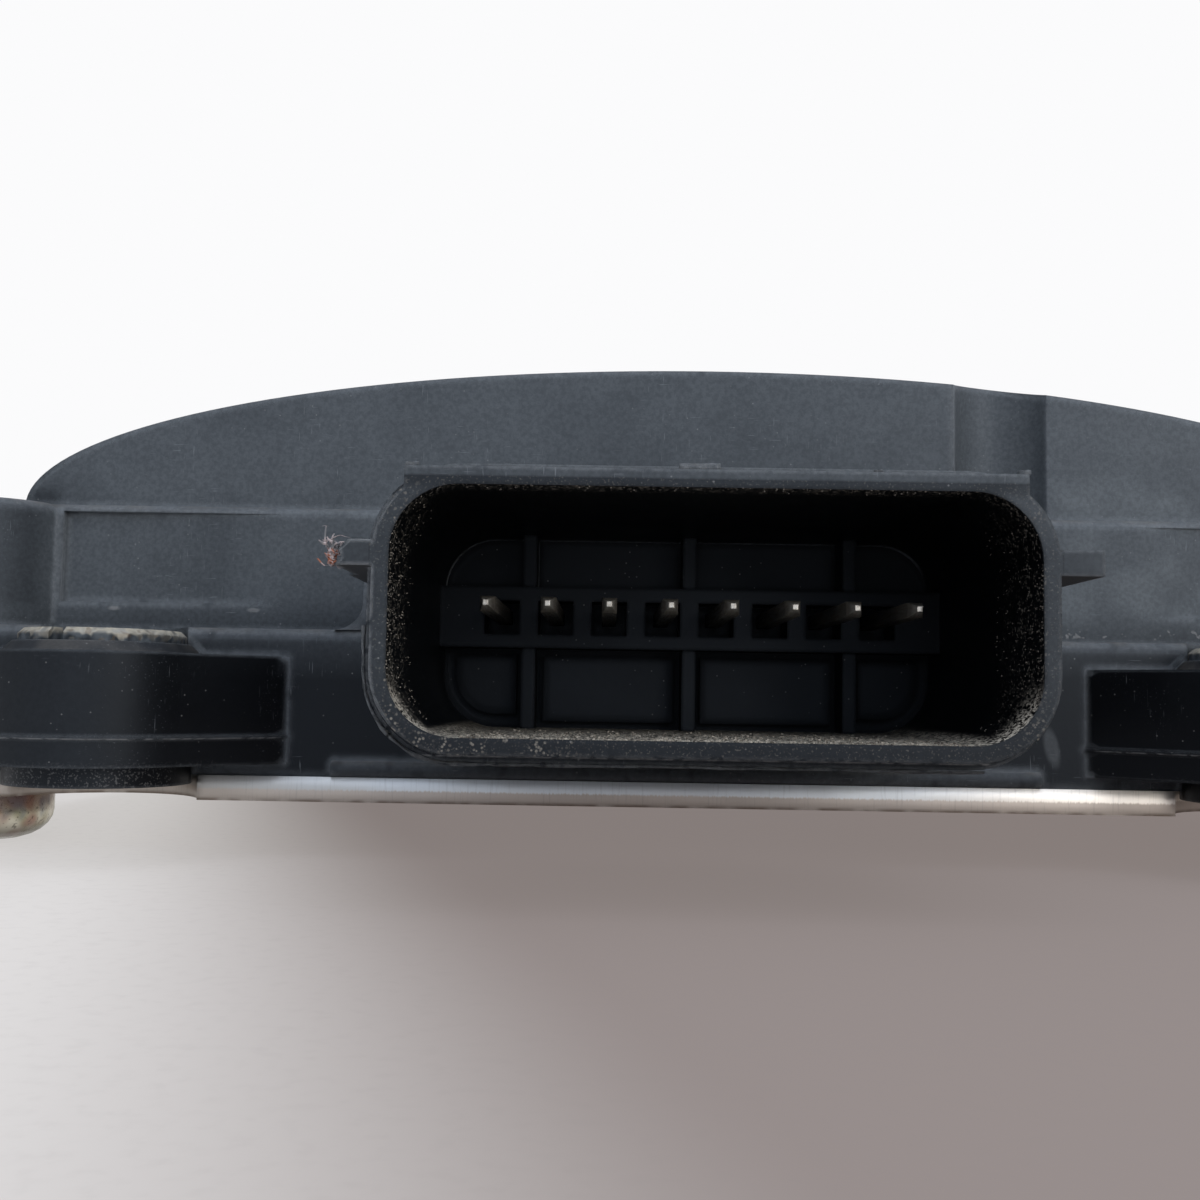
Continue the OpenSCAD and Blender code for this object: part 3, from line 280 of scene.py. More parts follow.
thickOnRim = mask(tree, lowerLeft, fineFlecks, speckle(tree, place, 0.9 * mm, 0.44, 0.58, seed=8.1), 0.5)
rimDust = addNode(tree, "Math", {0: thinOnRim, 1: thickOnRim}, operation="MAXIMUM")
dust = 0.0
for part in (onFloor, onSides, onRoof, rimDust):
    dust = addNode(tree, "Math", {0: dust, 1: part}, operation="MAXIMUM")
# painted light: deeper in, the dust is painted paler against the recess's shade
inwardLight = mask(tree, (y, mouth["y"] + 2.3 * mm, mouth["y"] + 9.3 * mm))
paler = layered(tree, pbtLook["dust"], (pbtLook["deepDustLit"], inwardLight), (pbtLook["rimDust"], onRim))
dustTone = layered(tree, pbtLook["dustDark"], (paler, mask(tree, (grain, 0.35, 0.55))))
colour = layered(tree, colour, (dustTone, dust))

# the moulded skin is a little uneven in tone
unevenness = mask(tree, (grain, 0.3, 0.7, 0.84, 1.16), (blotch, 0.3, 0.7, 0.94, 1.06))
colour = addNode(tree, "HueSaturation", {"Color": colour, "Value": unevenness})

# the skin's fine relief, the scratches and the thick dust stand in one bump; thin dust only changes the tone
relief = addNode(tree, "Math", {0: mask(tree, grain, 0.5), 1: mask(tree, onFloor, 1.2)}, operation="ADD")
relief = addNode(tree, "Math", {0: relief, 1: mask(tree, scratches, 0.5)}, operation="SUBTRACT")
bump = addNode(tree, "Bump", {"Strength": 0.4, "Distance": 0.03 * mm, "Height": relief, "Normal": rounded})
rough = mask(tree, (blotch, 0.2, 0.8, pbtLook["roughness"] - 0.06, pbtLook["roughness"] + 0.06))
rough = addNode(tree, "Math", {0: rough, 1: mask(tree, dust, 0.45)}, operation="ADD", use_clamp=True)
finishMaterial(tree, addNode(tree, "BsdfPrincipled",
                             {"IOR": 1.5, "Specular IOR Level": 0.28, "Specular Tint": "#ddecff",
                              "Base Color": colour, "Roughness": rough, "Normal": bump}))

# Sheared and rolled aluminium sheet. Its edge shows a burnished band with fine upright drag marks over a
# rougher torn band, a painted darker reflection to the left, a painted blue-grey reflection with oxide in the middle,
# and brown dirt at its foot; its face is brushed and spotted.
plateLook = {"metal": "#f5f2ec", "oxideAndReflection": "#dbe5ee", "leftReflection": "#aba9a5", "torn": "#c3bab2", "scored": "#5f6468",
             "dirt": "#6a5a4c", "roughness": 0.34, "shearZ": 0.62 * mm, "drag": 0.09 * mm, "reflectionFrom": -30 * mm,
             "reflectionTo": 5 * mm, "reflectionSoft": 12 * mm, "brush": 0.12 * mm}
shearedAluminium, tree, place = newMaterial("sheared aluminium sheet")
x, y, z = addNode(tree, "SeparateXYZ", {0: place}).outputs
drag = addNode(tree, "TexNoise", {"Vector": addNode(tree, "Mapping", {"Vector": place, "Scale": (1, 1, 0.04)}),
                                  "Scale": 1 / plateLook["drag"], "Detail": 3.0, "Roughness": 0.6})
rolled = addNode(tree, "TexNoise", {"Vector": addNode(tree, "Mapping", {"Vector": place, "Scale": (0.02, 1, 1)}),
                                    "Scale": 1 / plateLook["brush"], "Detail": 3.0, "Roughness": 0.6})
facingUp = addNode(tree, "SeparateXYZ", {0: addNode(tree, "NewGeometry").outputs["Normal"]}).outputs["Z"]
onFace = mask(tree, (addNode(tree, "Math", {0: facingUp}, operation="ABSOLUTE"), 0.6, 0.8))
onEdge = addNode(tree, "Math", {0: 1.0, 1: onFace}, operation="SUBTRACT")
# painted reflections: darker to the left, blue-grey in the middle with oxide
leftward = mask(tree, (x, plateLook["reflectionTo"] + plateLook["reflectionSoft"], plateLook["reflectionTo"]))
middle = mask(tree, (x, plateLook["reflectionFrom"], plateLook["reflectionFrom"] + 20 * mm), leftward)
wavy = speckle(tree, place, 3.5 * mm, 0.25, 0.75, (1, 1, 0.2), 1.7)
colour = layered(
    tree, plateLook["metal"],
    (plateLook["leftReflection"], leftward),
    (plateLook["oxideAndReflection"], mask(tree, middle, (wavy, 0.0, 1.0, 0.7, 1.0))),
)
lower = mask(tree, (addNode(tree, "Math", {0: z, 1: mask(tree, (drag, 0.3, 0.7), 0.08 * mm)}, operation="ADD"),
                    plateLook["shearZ"] + 0.06 * mm, plateLook["shearZ"] - 0.06 * mm))
torn = mask(tree, lower, onEdge)
colour = layered(
    tree, colour,
    (plateLook["torn"], mask(tree, torn, 0.8)),
    (plateLook["scored"], mask(tree, speckle(tree, place, 0.1 * mm, 0.55, 0.72, (1, 1, 0.06), 0.6), 0.12)),
)
foot = mask(tree, (z, 0.2 * mm, 0.02 * mm), onEdge, speckle(tree, place, 1.2 * mm, 0.3, 0.6, seed=2.5), 0.7)
colour = layered(tree, colour, (plateLook["dirt"], foot))
spots = mask(tree, onFace, flecks(tree, place, 2.3 * mm, 0.16 * mm, 1.1), 0.5)
colour = layered(tree, colour, (plateLook["dirt"], spots))
rough = mask(tree, (wavy, 0.0, 1.0, plateLook["roughness"] - 0.06, plateLook["roughness"] + 0.08))
rough = addNode(tree, "Math", {0: mask(tree, torn, 0.16), 1: rough}, operation="ADD")
relief = addNode(tree, "Math", {0: mask(tree, drag, onEdge), 1: mask(tree, rolled, onFace)}, operation="ADD")
softEdge = addNode(tree, "Bevel", {"Radius": 0.8 * mm}, samples=4)
bump = addNode(tree, "Bump", {"Strength": 0.2, "Distance": 0.02 * mm, "Height": relief, "Normal": softEdge})
finishMaterial(tree, addNode(tree, "BsdfPrincipled",
                             {"Metallic": 1.0, "Base Color": colour, "Roughness": rough, "Normal": bump}))

# Rolled steel bush, once plated. Its top has gone pale with white rust, and below that it is wet-dirt blue-grey.
bushLook = {"steel": "#666d73", "whiteRust": "#b9b4a6", "rust": "#6f6152", "dirt": "#353b41", "rimZ": 7.88 * mm}
rolledSteel, tree, place = newMaterial("rolled steel with white rust")
z = addNode(tree, "SeparateXYZ", {0: place}).outputs["Z"]
crust = speckle(tree, place, 0.5 * mm, 0.3, 0.62, seed=1.3)
upper = mask(tree, (addNode(tree, "Math", {0: z, 1: mask(tree, crust, -0.3 * mm)}, operation="ADD"),
                    bushLook["rimZ"] - 0.45 * mm, bushLook["rimZ"] - 0.1 * mm))
colour = layered(
    tree, bushLook["steel"],
    (bushLook["dirt"], speckle(tree, place, 0.8 * mm, 0.35, 0.65, seed=0.5)),
    (bushLook["whiteRust"], mask(tree, upper, (crust, 0.0, 1.0, 0.5, 0.95))),
    (bushLook["rust"], mask(tree, speckle(tree, place, 0.35 * mm, 0.58, 0.7, seed=3.3), 0.45)),
)
rough = mask(tree, (crust, 0.0, 1.0, 0.45, 0.8))
bump = addNode(tree, "Bump", {"Strength": 0.6, "Distance": 0.06 * mm, "Height": crust,
                              "Normal": addNode(tree, "Bevel", {"Radius": 0.12 * mm}, samples=4)})
finishMaterial(tree, addNode(tree, "BsdfPrincipled",
                             {"Metallic": 0.75, "Base Color": colour, "Roughness": rough, "Normal": bump}))

# Zinc-plated steel, passivated yellow. Bright metal drifts between yellow-green, blue and red film colours.
zincLook = {"zinc": "#d8d4c4", "green": "#a09d7e", "red": "#977265", "blue": "#7b838d",
            "grime": "#4a443c", "foot": "#57524a", "plateShadow": "#6b4f48", "drift": 2.0 * mm}
yellowZinc, tree, place = newMaterial("yellow zinc-plated steel")
z = addNode(tree, "SeparateXYZ", {0: place}).outputs["Z"]
drift = addNode(tree, "TexNoise", {"Vector": place, "Scale": 1 / zincLook["drift"], "Detail": 2.0, "Distortion": 0.6})
colour = layered(
    tree, zincLook["zinc"],
    (zincLook["green"], mask(tree, (drift, 0.36, 0.64))),
    (zincLook["red"], mask(tree, speckle(tree, place, 1.5 * mm, 0.46, 0.7, seed=2.1), 0.8)),
    (zincLook["blue"], mask(tree, speckle(tree, place, 1.3 * mm, 0.5, 0.72, seed=4.9), 0.7)),
    (zincLook["grime"], mask(tree, speckle(tree, place, 0.22 * mm, 0.6, 0.7, seed=6.2), 0.6)),
    (zincLook["foot"], mask(tree, (z, -1.5 * mm, -2.3 * mm, 0.0, 0.75))),
    # painted shadow: the head's top, under the plate, is darker
    (zincLook["plateShadow"], mask(tree, (z, -1.2 * mm, -0.3 * mm), 0.6)),
)
fine = addNode(tree, "TexNoise", {"Vector": place, "Scale": 1 / (0.18 * mm), "Detail": 3.0})
bump = addNode(tree, "Bump", {"Strength": 0.25, "Distance": 0.03 * mm, "Height": fine,
                              "Normal": addNode(tree, "Bevel", {"Radius": 0.25 * mm}, samples=4)})
finishMaterial(tree, addNode(tree, "BsdfPrincipled", {"Metallic": 1.0, "Base Color": colour, "Normal": bump,
                                                      "Roughness": mask(tree, (drift, 0.3, 0.7, 0.16, 0.32))}))

# Tin-plated brass contact. Soft bright tin at the cut tip, duller and darker further in.
contactLook = {"tin": "#d8d6ce", "dull": "#8f8b84", "deep": "#3c3a37", "drawn": "#857d70", "tipY": -44.8 * mm,
               "deepY": -40 * mm}
tinnedBrass, tree, place = newMaterial("tin-plated brass")
y = addNode(tree, "SeparateXYZ", {0: place}).outputs["Y"]
draw = speckle(tree, place, 0.12 * mm, 0.35, 0.7, (1, 0.06, 1), 0.8)
atTip = mask(tree, (y, contactLook["tipY"] + 0.7 * mm, contactLook["tipY"] + 0.1 * mm))
colour = layered(
    tree, contactLook["dull"],
    (contactLook["deep"], mask(tree, (y, contactLook["tipY"] + 1 * mm, contactLook["deepY"]))),
    (contactLook["tin"], atTip),
    (contactLook["drawn"], mask(tree, draw, 0.35)),
)
bump = addNode(tree, "Bump", {"Strength": 0.3, "Distance": 0.01 * mm, "Height": draw,
                              "Normal": addNode(tree, "Bevel", {"Radius": 0.06 * mm}, samples=4)})
finishMaterial(tree, addNode(tree, "BsdfPrincipled", {"Metallic": 0.7, "Base Color": colour, "Normal": bump,
                                                      "Roughness": mask(tree, (draw, 0.0, 1.0, 0.3, 0.5))}))


def groundFinish(name, look):
    # a finish with a main and a second colour in patches, a fine skin and specks
    made, tree, place = newMaterial(name)
    patches = speckle(tree, place, look["patch"], 0.35, 0.68, look.get("stretch", (1, 1, 1)), look["seed"])
    skin = addNode(tree, "TexNoise", {"Vector": place, "Scale": 1 / look["skin"], "Detail": 3.0, "Roughness": 0.6})
    dots = flecks(tree, place, look["patch"] * 0.8, look["patch"] * 0.09, look["seed"] + 3)
    colour = layered(tree, look["main"], (look["second"], mask(tree, patches, 0.7)),
                     (look["speck"], mask(tree, dots, 0.6)))
    bump = addNode(tree, "Bump", {"Strength": 0.3, "Distance": look["depth"], "Height": skin,
                                  "Normal": addNode(tree, "Bevel", {"Radius": look["edge"]}, samples=4)})
    rough = mask(tree, (skin, 0.3, 0.7, look["rough"] - 0.05, look["rough"] + 0.07))
    finishMaterial(tree, addNode(tree, "BsdfPrincipled", {"Metallic": look.get("metal", 0.0), "Base Color": colour,
                                                          "Roughness": rough, "Normal": bump}))
    return made


# What the closed housing hides, each with the look of its own stuff
hiddenLooks = {
    # seal: moulded silicone rubber, dull black with talc on it
    "moulded silicone rubber": {"main": "#232325", "second": "#2e2e31", "speck": "#8b8a86", "patch": 3 * mm,
                                "skin": 0.2 * mm, "depth": 0.02 * mm, "edge": 0.2 * mm, "rough": 0.6, "seed": 0.2},
    # pocket behind the pins: cast epoxy, nearly black, glossy with pale dust
    "cast epoxy resin": {"main": "#17191a", "second": "#202326", "speck": "#6d6c68", "patch": 2 * mm,
                         "skin": 0.6 * mm, "depth": 0.02 * mm, "edge": 0.15 * mm, "rough": 0.2, "seed": 0.9},
    # main board: FR4 under green solder resist, its weave just seen
    "green solder resist on FR4": {"main": "#1f4a32", "second": "#27573b", "speck": "#8f9a7a", "patch": 1.2 * mm,
                                   "skin": 0.35 * mm, "depth": 0.012 * mm, "edge": 0.08 * mm, "rough": 0.35,
                                   "seed": 1.4},
    # antenna board: ceramic-filled laminate, pale cream with resin patches
    "ceramic-filled laminate": {"main": "#c9bf9e", "second": "#b8a983", "speck": "#7d6b48", "patch": 2.2 * mm,
                                "skin": 0.3 * mm, "depth": 0.012 * mm, "edge": 0.08 * mm, "rough": 0.45, "seed": 2.0},
    # shield: die-cast zinc, grey with flow marks
    "die-cast zinc": {"main": "#8d8f91", "second": "#7a7c7e", "speck": "#55575a", "patch": 4 * mm, "skin": 0.3 * mm,
                      "depth": 0.03 * mm, "edge": 0.2 * mm, "rough": 0.45, "metal": 1.0, "stretch": (0.3, 1, 1),
                      "seed": 2.6},
    # board screws: nickel-plated steel, warm bright metal
    "nickel-plated steel": {"main": "#a9a49a", "second": "#908b82", "speck": "#5d584f", "patch": 0.8 * mm,
                            "skin": 0.12 * mm, "depth": 0.01 * mm, "edge": 0.1 * mm, "rough": 0.3, "metal": 1.0,
                            "seed": 3.2},
    # chips: moulded epoxy body, matt charcoal
    "moulded epoxy body": {"main": "#232527", "second": "#2c2e30", "speck": "#56585a", "patch": 1.1 * mm,
                           "skin": 0.1 * mm, "depth": 0.012 * mm, "edge": 0.06 * mm, "rough": 0.55, "seed": 3.8},
    # heat pads: silicone gap filler, soft pink-grey
    "silicone gap filler": {"main": "#a3868a", "second": "#b4989b", "speck": "#786065", "patch": 1.4 * mm,
                            "skin": 0.25 * mm, "depth": 0.03 * mm, "edge": 0.15 * mm, "rough": 0.7, "seed": 4.3},
    # capacitors: drawn aluminium can, faint drawing lines up its side
    "drawn aluminium can": {"main": "#bfc1c2", "second": "#a9abad", "speck": "#7b7d80", "patch": 0.7 * mm,
                            "skin": 0.15 * mm, "depth": 0.01 * mm, "edge": 0.12 * mm, "rough": 0.28, "metal": 1.0,
                            "stretch": (1, 1, 0.1), "seed": 4.8},
    # inductor: pressed iron powder, grainy dark grey
    "pressed iron powder": {"main": "#4c4e50", "second": "#5d5f60", "speck": "#8a8b8a", "patch": 0.5 * mm,
                            "skin": 0.09 * mm, "depth": 0.03 * mm, "edge": 0.1 * mm, "rough": 0.65, "seed": 5.4},
    # crystal: seam-welded nickel lid
    "seam-welded nickel lid": {"main": "#b5b1a6", "second": "#9d998f", "speck": "#6f6b62", "patch": 1 * mm,
                               "skin": 0.12 * mm, "depth": 0.01 * mm, "edge": 0.1 * mm, "rough": 0.3, "metal": 1.0,
                               "seed": 5.9},
    # board link: moulded liquid-crystal polymer, black with flow streaks
    "moulded LCP": {"main": "#1d1e20", "second": "#2a2b2d", "speck": "#505255", "patch": 1.5 * mm, "skin": 0.12 * mm,
                    "depth": 0.012 * mm, "edge": 0.08 * mm, "rough": 0.5, "stretch": (0.2, 1, 1), "seed": 6.5},
}
hidden = {name: groundFinish(name, look) for name, look in hiddenLooks.items()}
finishBySlot = {
    "moulded_plastic": mouldedPbt, "sheet_aluminium": shearedAluminium, "bush_steel": rolledSteel,
    "zinc_plated_steel": yellowZinc, "tinned_contact": tinnedBrass, "seal_rubber": hidden["moulded silicone rubber"],
    "sealing_resin": hidden["cast epoxy resin"], "circuit_board": hidden["green solder resist on FR4"],
    "antenna_laminate": hidden["ceramic-filled laminate"], "cast_shield": hidden["die-cast zinc"],
    "board_screw_steel": hidden["nickel-plated steel"], "chip_body": hidden["moulded epoxy body"],
    "thermal_silicone": hidden["silicone gap filler"], "capacitor_can": hidden["drawn aluminium can"],
    "iron_powder": hidden["pressed iron powder"], "crystal_can": hidden["seam-welded nickel lid"],
    "link_plastic": hidden["moulded LCP"],
}
slotOf = {row["node"]: row["material_slot"] for row in frame["record"]["subparts"]}
for nodeName, node in nodes.items():
    node.data.materials.clear()
    node.data.materials.append(finishBySlot[slotOf[nodeName]])
print("materials done")


def joined(pieces, name, material):
    # several objects made one, with its place in its mesh, its normals outwards and one material
    bpy.ops.object.select_all(action="DESELECT")
    for piece in pieces:
        piece.select_set(True)
    bpy.context.view_layer.objects.active = pieces[0]
    if len(pieces) > 1:
        bpy.ops.object.join()
    bpy.ops.object.transform_apply(location=True, rotation=True, scale=True)
    bpy.ops.object.mode_set(mode="EDIT")
    bpy.ops.mesh.select_all(action="SELECT")
    bpy.ops.mesh.normals_make_consistent(inside=False)
    bpy.ops.object.mode_set(mode="OBJECT")
    made = bpy.context.object
    made.name = name
    made.data.materials.clear()
    made.data.materials.append(material)
    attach(made, "root")
    return made


def copyOf(piece, place, turn, size):
    # a copy with its own mesh
    made = piece.copy()
    made.data = piece.data.copy()
    made.location, made.rotation_euler, made.scale = place, turn, size
    bpy.context.scene.collection.objects.link(made)
    return made


# Road dust: sand and dried mud, dull beige to brown, each grain a little different.
dustLook = {"mud": "#6f6a62", "sand": "#a9a397", "grime": "#4a443c", "rightShade": "#3d3430", "patch": 0.5 * mm,
            "grit": 0.08 * mm}
roadDust, tree, place = newMaterial("road dust")
x = addNode(tree, "SeparateXYZ", {0: place}).outputs["X"]
tone = addNode(tree, "TexNoise", {"Vector": place, "Scale": 1 / dustLook["patch"], "Detail": 2.0})
colour = layered(
    tree, dustLook["mud"],
    (dustLook["sand"], mask(tree, (tone, 0.35, 0.62))),
    (dustLook["grime"], speckle(tree, place, 0.3 * mm, 0.55, 0.68, seed=1.9)),
    # painted shade: the grains to the right are darker
    (dustLook["rightShade"], mask(tree, (x, 4 * mm, 9 * mm, 0.0, 0.5))),
)
bump = addNode(tree, "Bump", {"Strength": 0.5, "Distance": 0.03 * mm,
                              "Height": addNode(tree, "TexNoise", {"Vector": place, "Scale": 1 / dustLook["grit"]})})
finishMaterial(tree, addNode(tree, "BsdfPrincipled", {"Base Color": colour, "Roughness": 0.9, "Normal": bump}))

# grains lie on the mouth's lower wall, thickest at the lip, cling to its side walls and dot the ledges
gritLook = {"seed": 11, "size": 0.03 * mm, "least": 0.4, "most": 1.4, "onFloor": 900, "onSides": 520, "onRoof": 90,
            "onLedges": 60, "floorDeep": 12 * mm, "sideDeep": 6 * mm, "roofDeep": 1.2 * mm, "floorLip": 0.06 * mm,
            "sideLip": 0.1 * mm, "roofLip": 0.08 * mm, "sink": 0.35, "shape": (1.2, 0.9, 0.7), "ragged": 0.35,
            "floorBigger": 1.7, "ledgeFlat": 0.6, "ledgeX": (20, 39), "ledgeIn": (0.3, 4.2), "ledgeY": -29 * mm,
            "skirtZ": 8.4 * mm}
random.seed(gritLook["seed"])
bpy.ops.object.select_all(action="DESELECT")
bpy.ops.mesh.primitive_ico_sphere_add(subdivisions=1, radius=1)
firstGrain = bpy.context.object
bpy.ops.object.mode_set(mode="EDIT")
bpy.ops.transform.vertex_random(offset=gritLook["ragged"], seed=gritLook["seed"])
bpy.ops.transform.resize(value=gritLook["shape"])
bpy.ops.object.mode_set(mode="OBJECT")


def grainAt(x, y, z, flat=1.0, bigger=1.0):
    size = gritLook["size"] * bigger * random.uniform(gritLook["least"], gritLook["most"])
    turn = (random.uniform(0, 0.6), random.uniform(0, 0.6), random.uniform(0, 6.28))
    return copyOf(firstGrain, (x, y, z), turn, (size, size, size * flat))


grains = []
straight = mouth["halfW"] - mouth["cornerR"]
sunk = gritLook["size"] * gritLook["sink"]
for index in range(gritLook["onFloor"]):
    depth = gritLook["floorDeep"] * random.random() ** 2.2
    grains.append(grainAt(mouth["x"] + random.uniform(-straight, straight), mouth["y"] + gritLook["floorLip"] + depth,
                          mouth["z"] - mouth["halfH"] + sunk, bigger=gritLook["floorBigger"]))
for index in range(gritLook["onSides"]):
    side = -1 if index % 2 else 1
    depth = gritLook["sideDeep"] * random.random() ** 1.8
    rise = (0.92 - 1.84 * random.random() ** 0.8) * mouth["halfH"]
    intoCorner = max(0.0, abs(rise) - mouth["halfH"] + mouth["cornerR"])
    inset = mouth["cornerR"] - (mouth["cornerR"] ** 2 - intoCorner ** 2) ** 0.5
    grains.append(grainAt(mouth["x"] + side * (mouth["halfW"] - inset - sunk),
                          mouth["y"] + gritLook["sideLip"] + depth, mouth["z"] + rise))
for index in range(gritLook["onRoof"]):
    grains.append(grainAt(mouth["x"] + random.uniform(-straight, straight),
                          mouth["y"] + gritLook["roofLip"] + gritLook["roofDeep"] * random.random() ** 2,
                          mouth["z"] + mouth["halfH"] - sunk))
for index in range(gritLook["onLedges"]):
    side = -1 if index % 2 else 1
    grains.append(grainAt(side * random.uniform(*gritLook["ledgeX"]) * mm,
                          gritLook["ledgeY"] - random.uniform(*gritLook["ledgeIn"]) * mm,
                          gritLook["skirtZ"] + sunk, gritLook["ledgeFlat"]))
joined(grains, "road_grit", roadDust)
bpy.data.objects.remove(firstGrain)
print("grit done")

# Stress-whitened PBT: where the rail tore, glass fibres and pale plastic stand in a ragged lump, pinkish white at
# its top and rusty brown below.
tornLook = {"pale": "#a79c9c", "grey": "#6d6f72", "rust": "#94583d", "rustFrom": 10.05 * mm, "rustTo": 10.6 * mm,
            "fibre": 0.3 * mm}
tornPbt, tree, place = newMaterial("torn glass-filled PBT")
z = addNode(tree, "SeparateXYZ", {0: place}).outputs["Z"]
tone = addNode(tree, "TexNoise", {"Vector": place, "Scale": 1 / tornLook["fibre"], "Detail": 3.0})
colour = layered(tree, tornLook["grey"], (tornLook["pale"], mask(tree, (tone, 0.38, 0.6))))
rusty = mask(tree, (z, tornLook["rustTo"], tornLook["rustTo"] - 0.15 * mm),
             (z, tornLook["rustFrom"] - 0.2 * mm, tornLook["rustFrom"]),
             speckle(tree, place, 0.2 * mm, 0.4, 0.6, seed=2.8))
colour = layered(tree, colour, (tornLook["rust"], rusty))
bump = addNode(tree, "Bump", {"Strength": 0.6, "Distance": 0.03 * mm, "Height": tone})
finishMaterial(tree, addNode(tree, "BsdfPrincipled", {"Base Color": colour, "Roughness": 0.7, "Normal": bump}))

# the torn rail: one tapered strand, bent in edit mode and copied along the break
strandLook = {"seed": 4, "radius": 0.085 * mm, "length": 0.09 * mm, "bends": 3, "lean": 0.04 * mm, "push": 0.03 * mm,
              "taper": 0.75, "count": 64, "x": -15.5 * mm, "spread": 0.1 * mm, "yFrom": -51.1 * mm,
              "yTo": -49.6 * mm, "zFrom": 9.9 * mm, "zTo": 10.85 * mm}
# single strands in mm: start, steps, radius and taper of a whisker, a hair over it, a tail and a brow
looseStrands = (
    ((-15.7, -51.1, 10.8), ((0, 0, 0.2), (0.01, 0, 0.2), (0.02, 0, 0.15)), 0.035, 0.95),
    ((-15.82, -51.1, 11.33), ((0.1, 0, 0.03), (0.14, 0, -0.02)), 0.03, 0.9),
    ((-15.95, -51.1, 10.15), ((0.12, 0, -0.14), (0.14, 0.02, -0.12), (0.2, 0.05, 0.02)), 0.04, 1.0),
    ((-15.5, -51.1, 10.85), ((0.2, 0, 0.12), (0.15, 0, 0.05), (0.2, 0, -0.06), (0.2, 0, -0.04), (0.5, 0, 0)),
     0.04, 0.97),
)


def strandFrom(start, steps, radius, taper):
    # a thin strand, drawn out of a small ring step by step
    bpy.ops.object.select_all(action="DESELECT")
    bpy.ops.mesh.primitive_circle_add(vertices=6, radius=radius, fill_type="NGON", location=start)
    bpy.ops.object.mode_set(mode="EDIT")
    for step in steps:
        bpy.ops.mesh.extrude_region_move(TRANSFORM_OT_translate={"value": step})
        bpy.ops.transform.resize(value=(taper, taper, taper))
    bpy.ops.object.mode_set(mode="OBJECT")
    return bpy.context.object


random.seed(strandLook["seed"])
bends = [(strandLook["lean"] * bend, strandLook["push"], strandLook["length"]) for bend in range(strandLook["bends"])]
firstStrand = strandFrom((0, 0, 0), bends, strandLook["radius"], strandLook["taper"])
strands = []
for index in range(strandLook["count"]):
    along = (index + random.random()) / strandLook["count"]
    up = random.random()
    place = (strandLook["x"] + strandLook["spread"] * (random.gauss(0, 1) + 1.2 * abs(up - 0.75) - 0.5),
             strandLook["yFrom"] + (strandLook["yTo"] - strandLook["yFrom"]) * along ** 2.2,
             strandLook["zFrom"] + (strandLook["zTo"] - strandLook["zFrom"]) * up)
    turn = (random.uniform(-1.2, 1.2), random.uniform(-2.0, 2.0), random.uniform(-0.6, 0.6))
    size = random.uniform(0.5, 1.0)
    strands.append(copyOf(firstStrand, place, turn, (size, size, size)))
for start, steps, radius, taper in looseStrands:
    steps = [tuple(part * mm for part in step) for step in steps]
    strands.append(strandFrom([part * mm for part in start], steps, radius * mm, taper))
joined(strands, "torn_rail_strands", tornPbt)
bpy.data.objects.remove(firstStrand)
print("torn rail done")

# burrs left by the gate and the tool's split on the top plate's front edge
burrLook = {"seed": 7, "topZ": 13.61 * mm, "y": -51.15 * mm, "deep": 0.22 * mm, "cuts": 4, "ragged": 0.035 * mm,
            "places": ((-2.1 * mm, 1.5 * mm, 0.2 * mm), (-12.6 * mm, 0.5 * mm, 0.12 * mm),
                       (9.7 * mm, 0.45 * mm, 0.14 * mm), (4.4 * mm, 0.3 * mm, 0.08 * mm))}
burrs = []
for x, width, high in burrLook["places"]:
    bpy.ops.object.select_all(action="DESELECT")
    bpy.ops.mesh.primitive_cube_add(size=1, location=(x, burrLook["y"], burrLook["topZ"] + high / 2),
                                    scale=(width, burrLook["deep"], high * 1.2))
    bpy.ops.object.transform_apply(location=False, rotation=False, scale=True)
    bpy.ops.object.mode_set(mode="EDIT")
    bpy.ops.mesh.subdivide(number_cuts=burrLook["cuts"])
    bpy.ops.transform.vertex_random(offset=burrLook["ragged"], seed=burrLook["seed"])
    bpy.ops.object.mode_set(mode="OBJECT")
    burrs.append(bpy.context.object)
joined(burrs, "gate_burrs", mouldedPbt)
print("burrs done")

# flash along the shroud's step, thickest at its lower left: a quarter ring spun from one edge, run on to the right
flashLook = {"halfW": mouth["halfW"] + 0.96 * mm, "halfH": mouth["halfH"] + 0.96 * mm, "cornerR": 3.4 * mm,
             "y": -50.42 * mm, "wide": 0.07 * mm, "deep": 0.16 * mm, "end": 8.4 * mm, "rise": 1.6 * mm, "cuts": 5,
             "steps": 16, "pieces": 24, "ragged": 0.02 * mm, "seed": 9}
cornerX = mouth["x"] - flashLook["halfW"] + flashLook["cornerR"]
cornerZ = mouth["z"] - flashLook["halfH"] + flashLook["cornerR"]
bpy.ops.object.select_all(action="DESELECT")
start = (cornerX - flashLook["cornerR"], flashLook["y"], cornerZ + flashLook["rise"] / 2)
bpy.ops.mesh.primitive_plane_add(size=1, location=start, rotation=(quarterTurn, 0, 0), scale=(1, 1, 1))
flash = bpy.context.object
bpy.ops.object.transform_apply(location=False, rotation=True, scale=False)
bpy.ops.object.mode_set(mode="EDIT")
bpy.ops.transform.resize(value=(flashLook["wide"], 1, flashLook["rise"]))
bpy.ops.mesh.subdivide(number_cuts=flashLook["cuts"])
bpy.ops.mesh.select_all(action="DESELECT")
bpy.ops.object.mode_set(mode="OBJECT")
lowest = min(corner.co.z for corner in flash.data.vertices)
for edge in flash.data.edges:
    edge.select = all(flash.data.vertices[index].co.z < lowest + 1e-6 for index in edge.vertices)
bpy.ops.object.mode_set(mode="EDIT")
bpy.context.tool_settings.mesh_select_mode = (False, True, False)
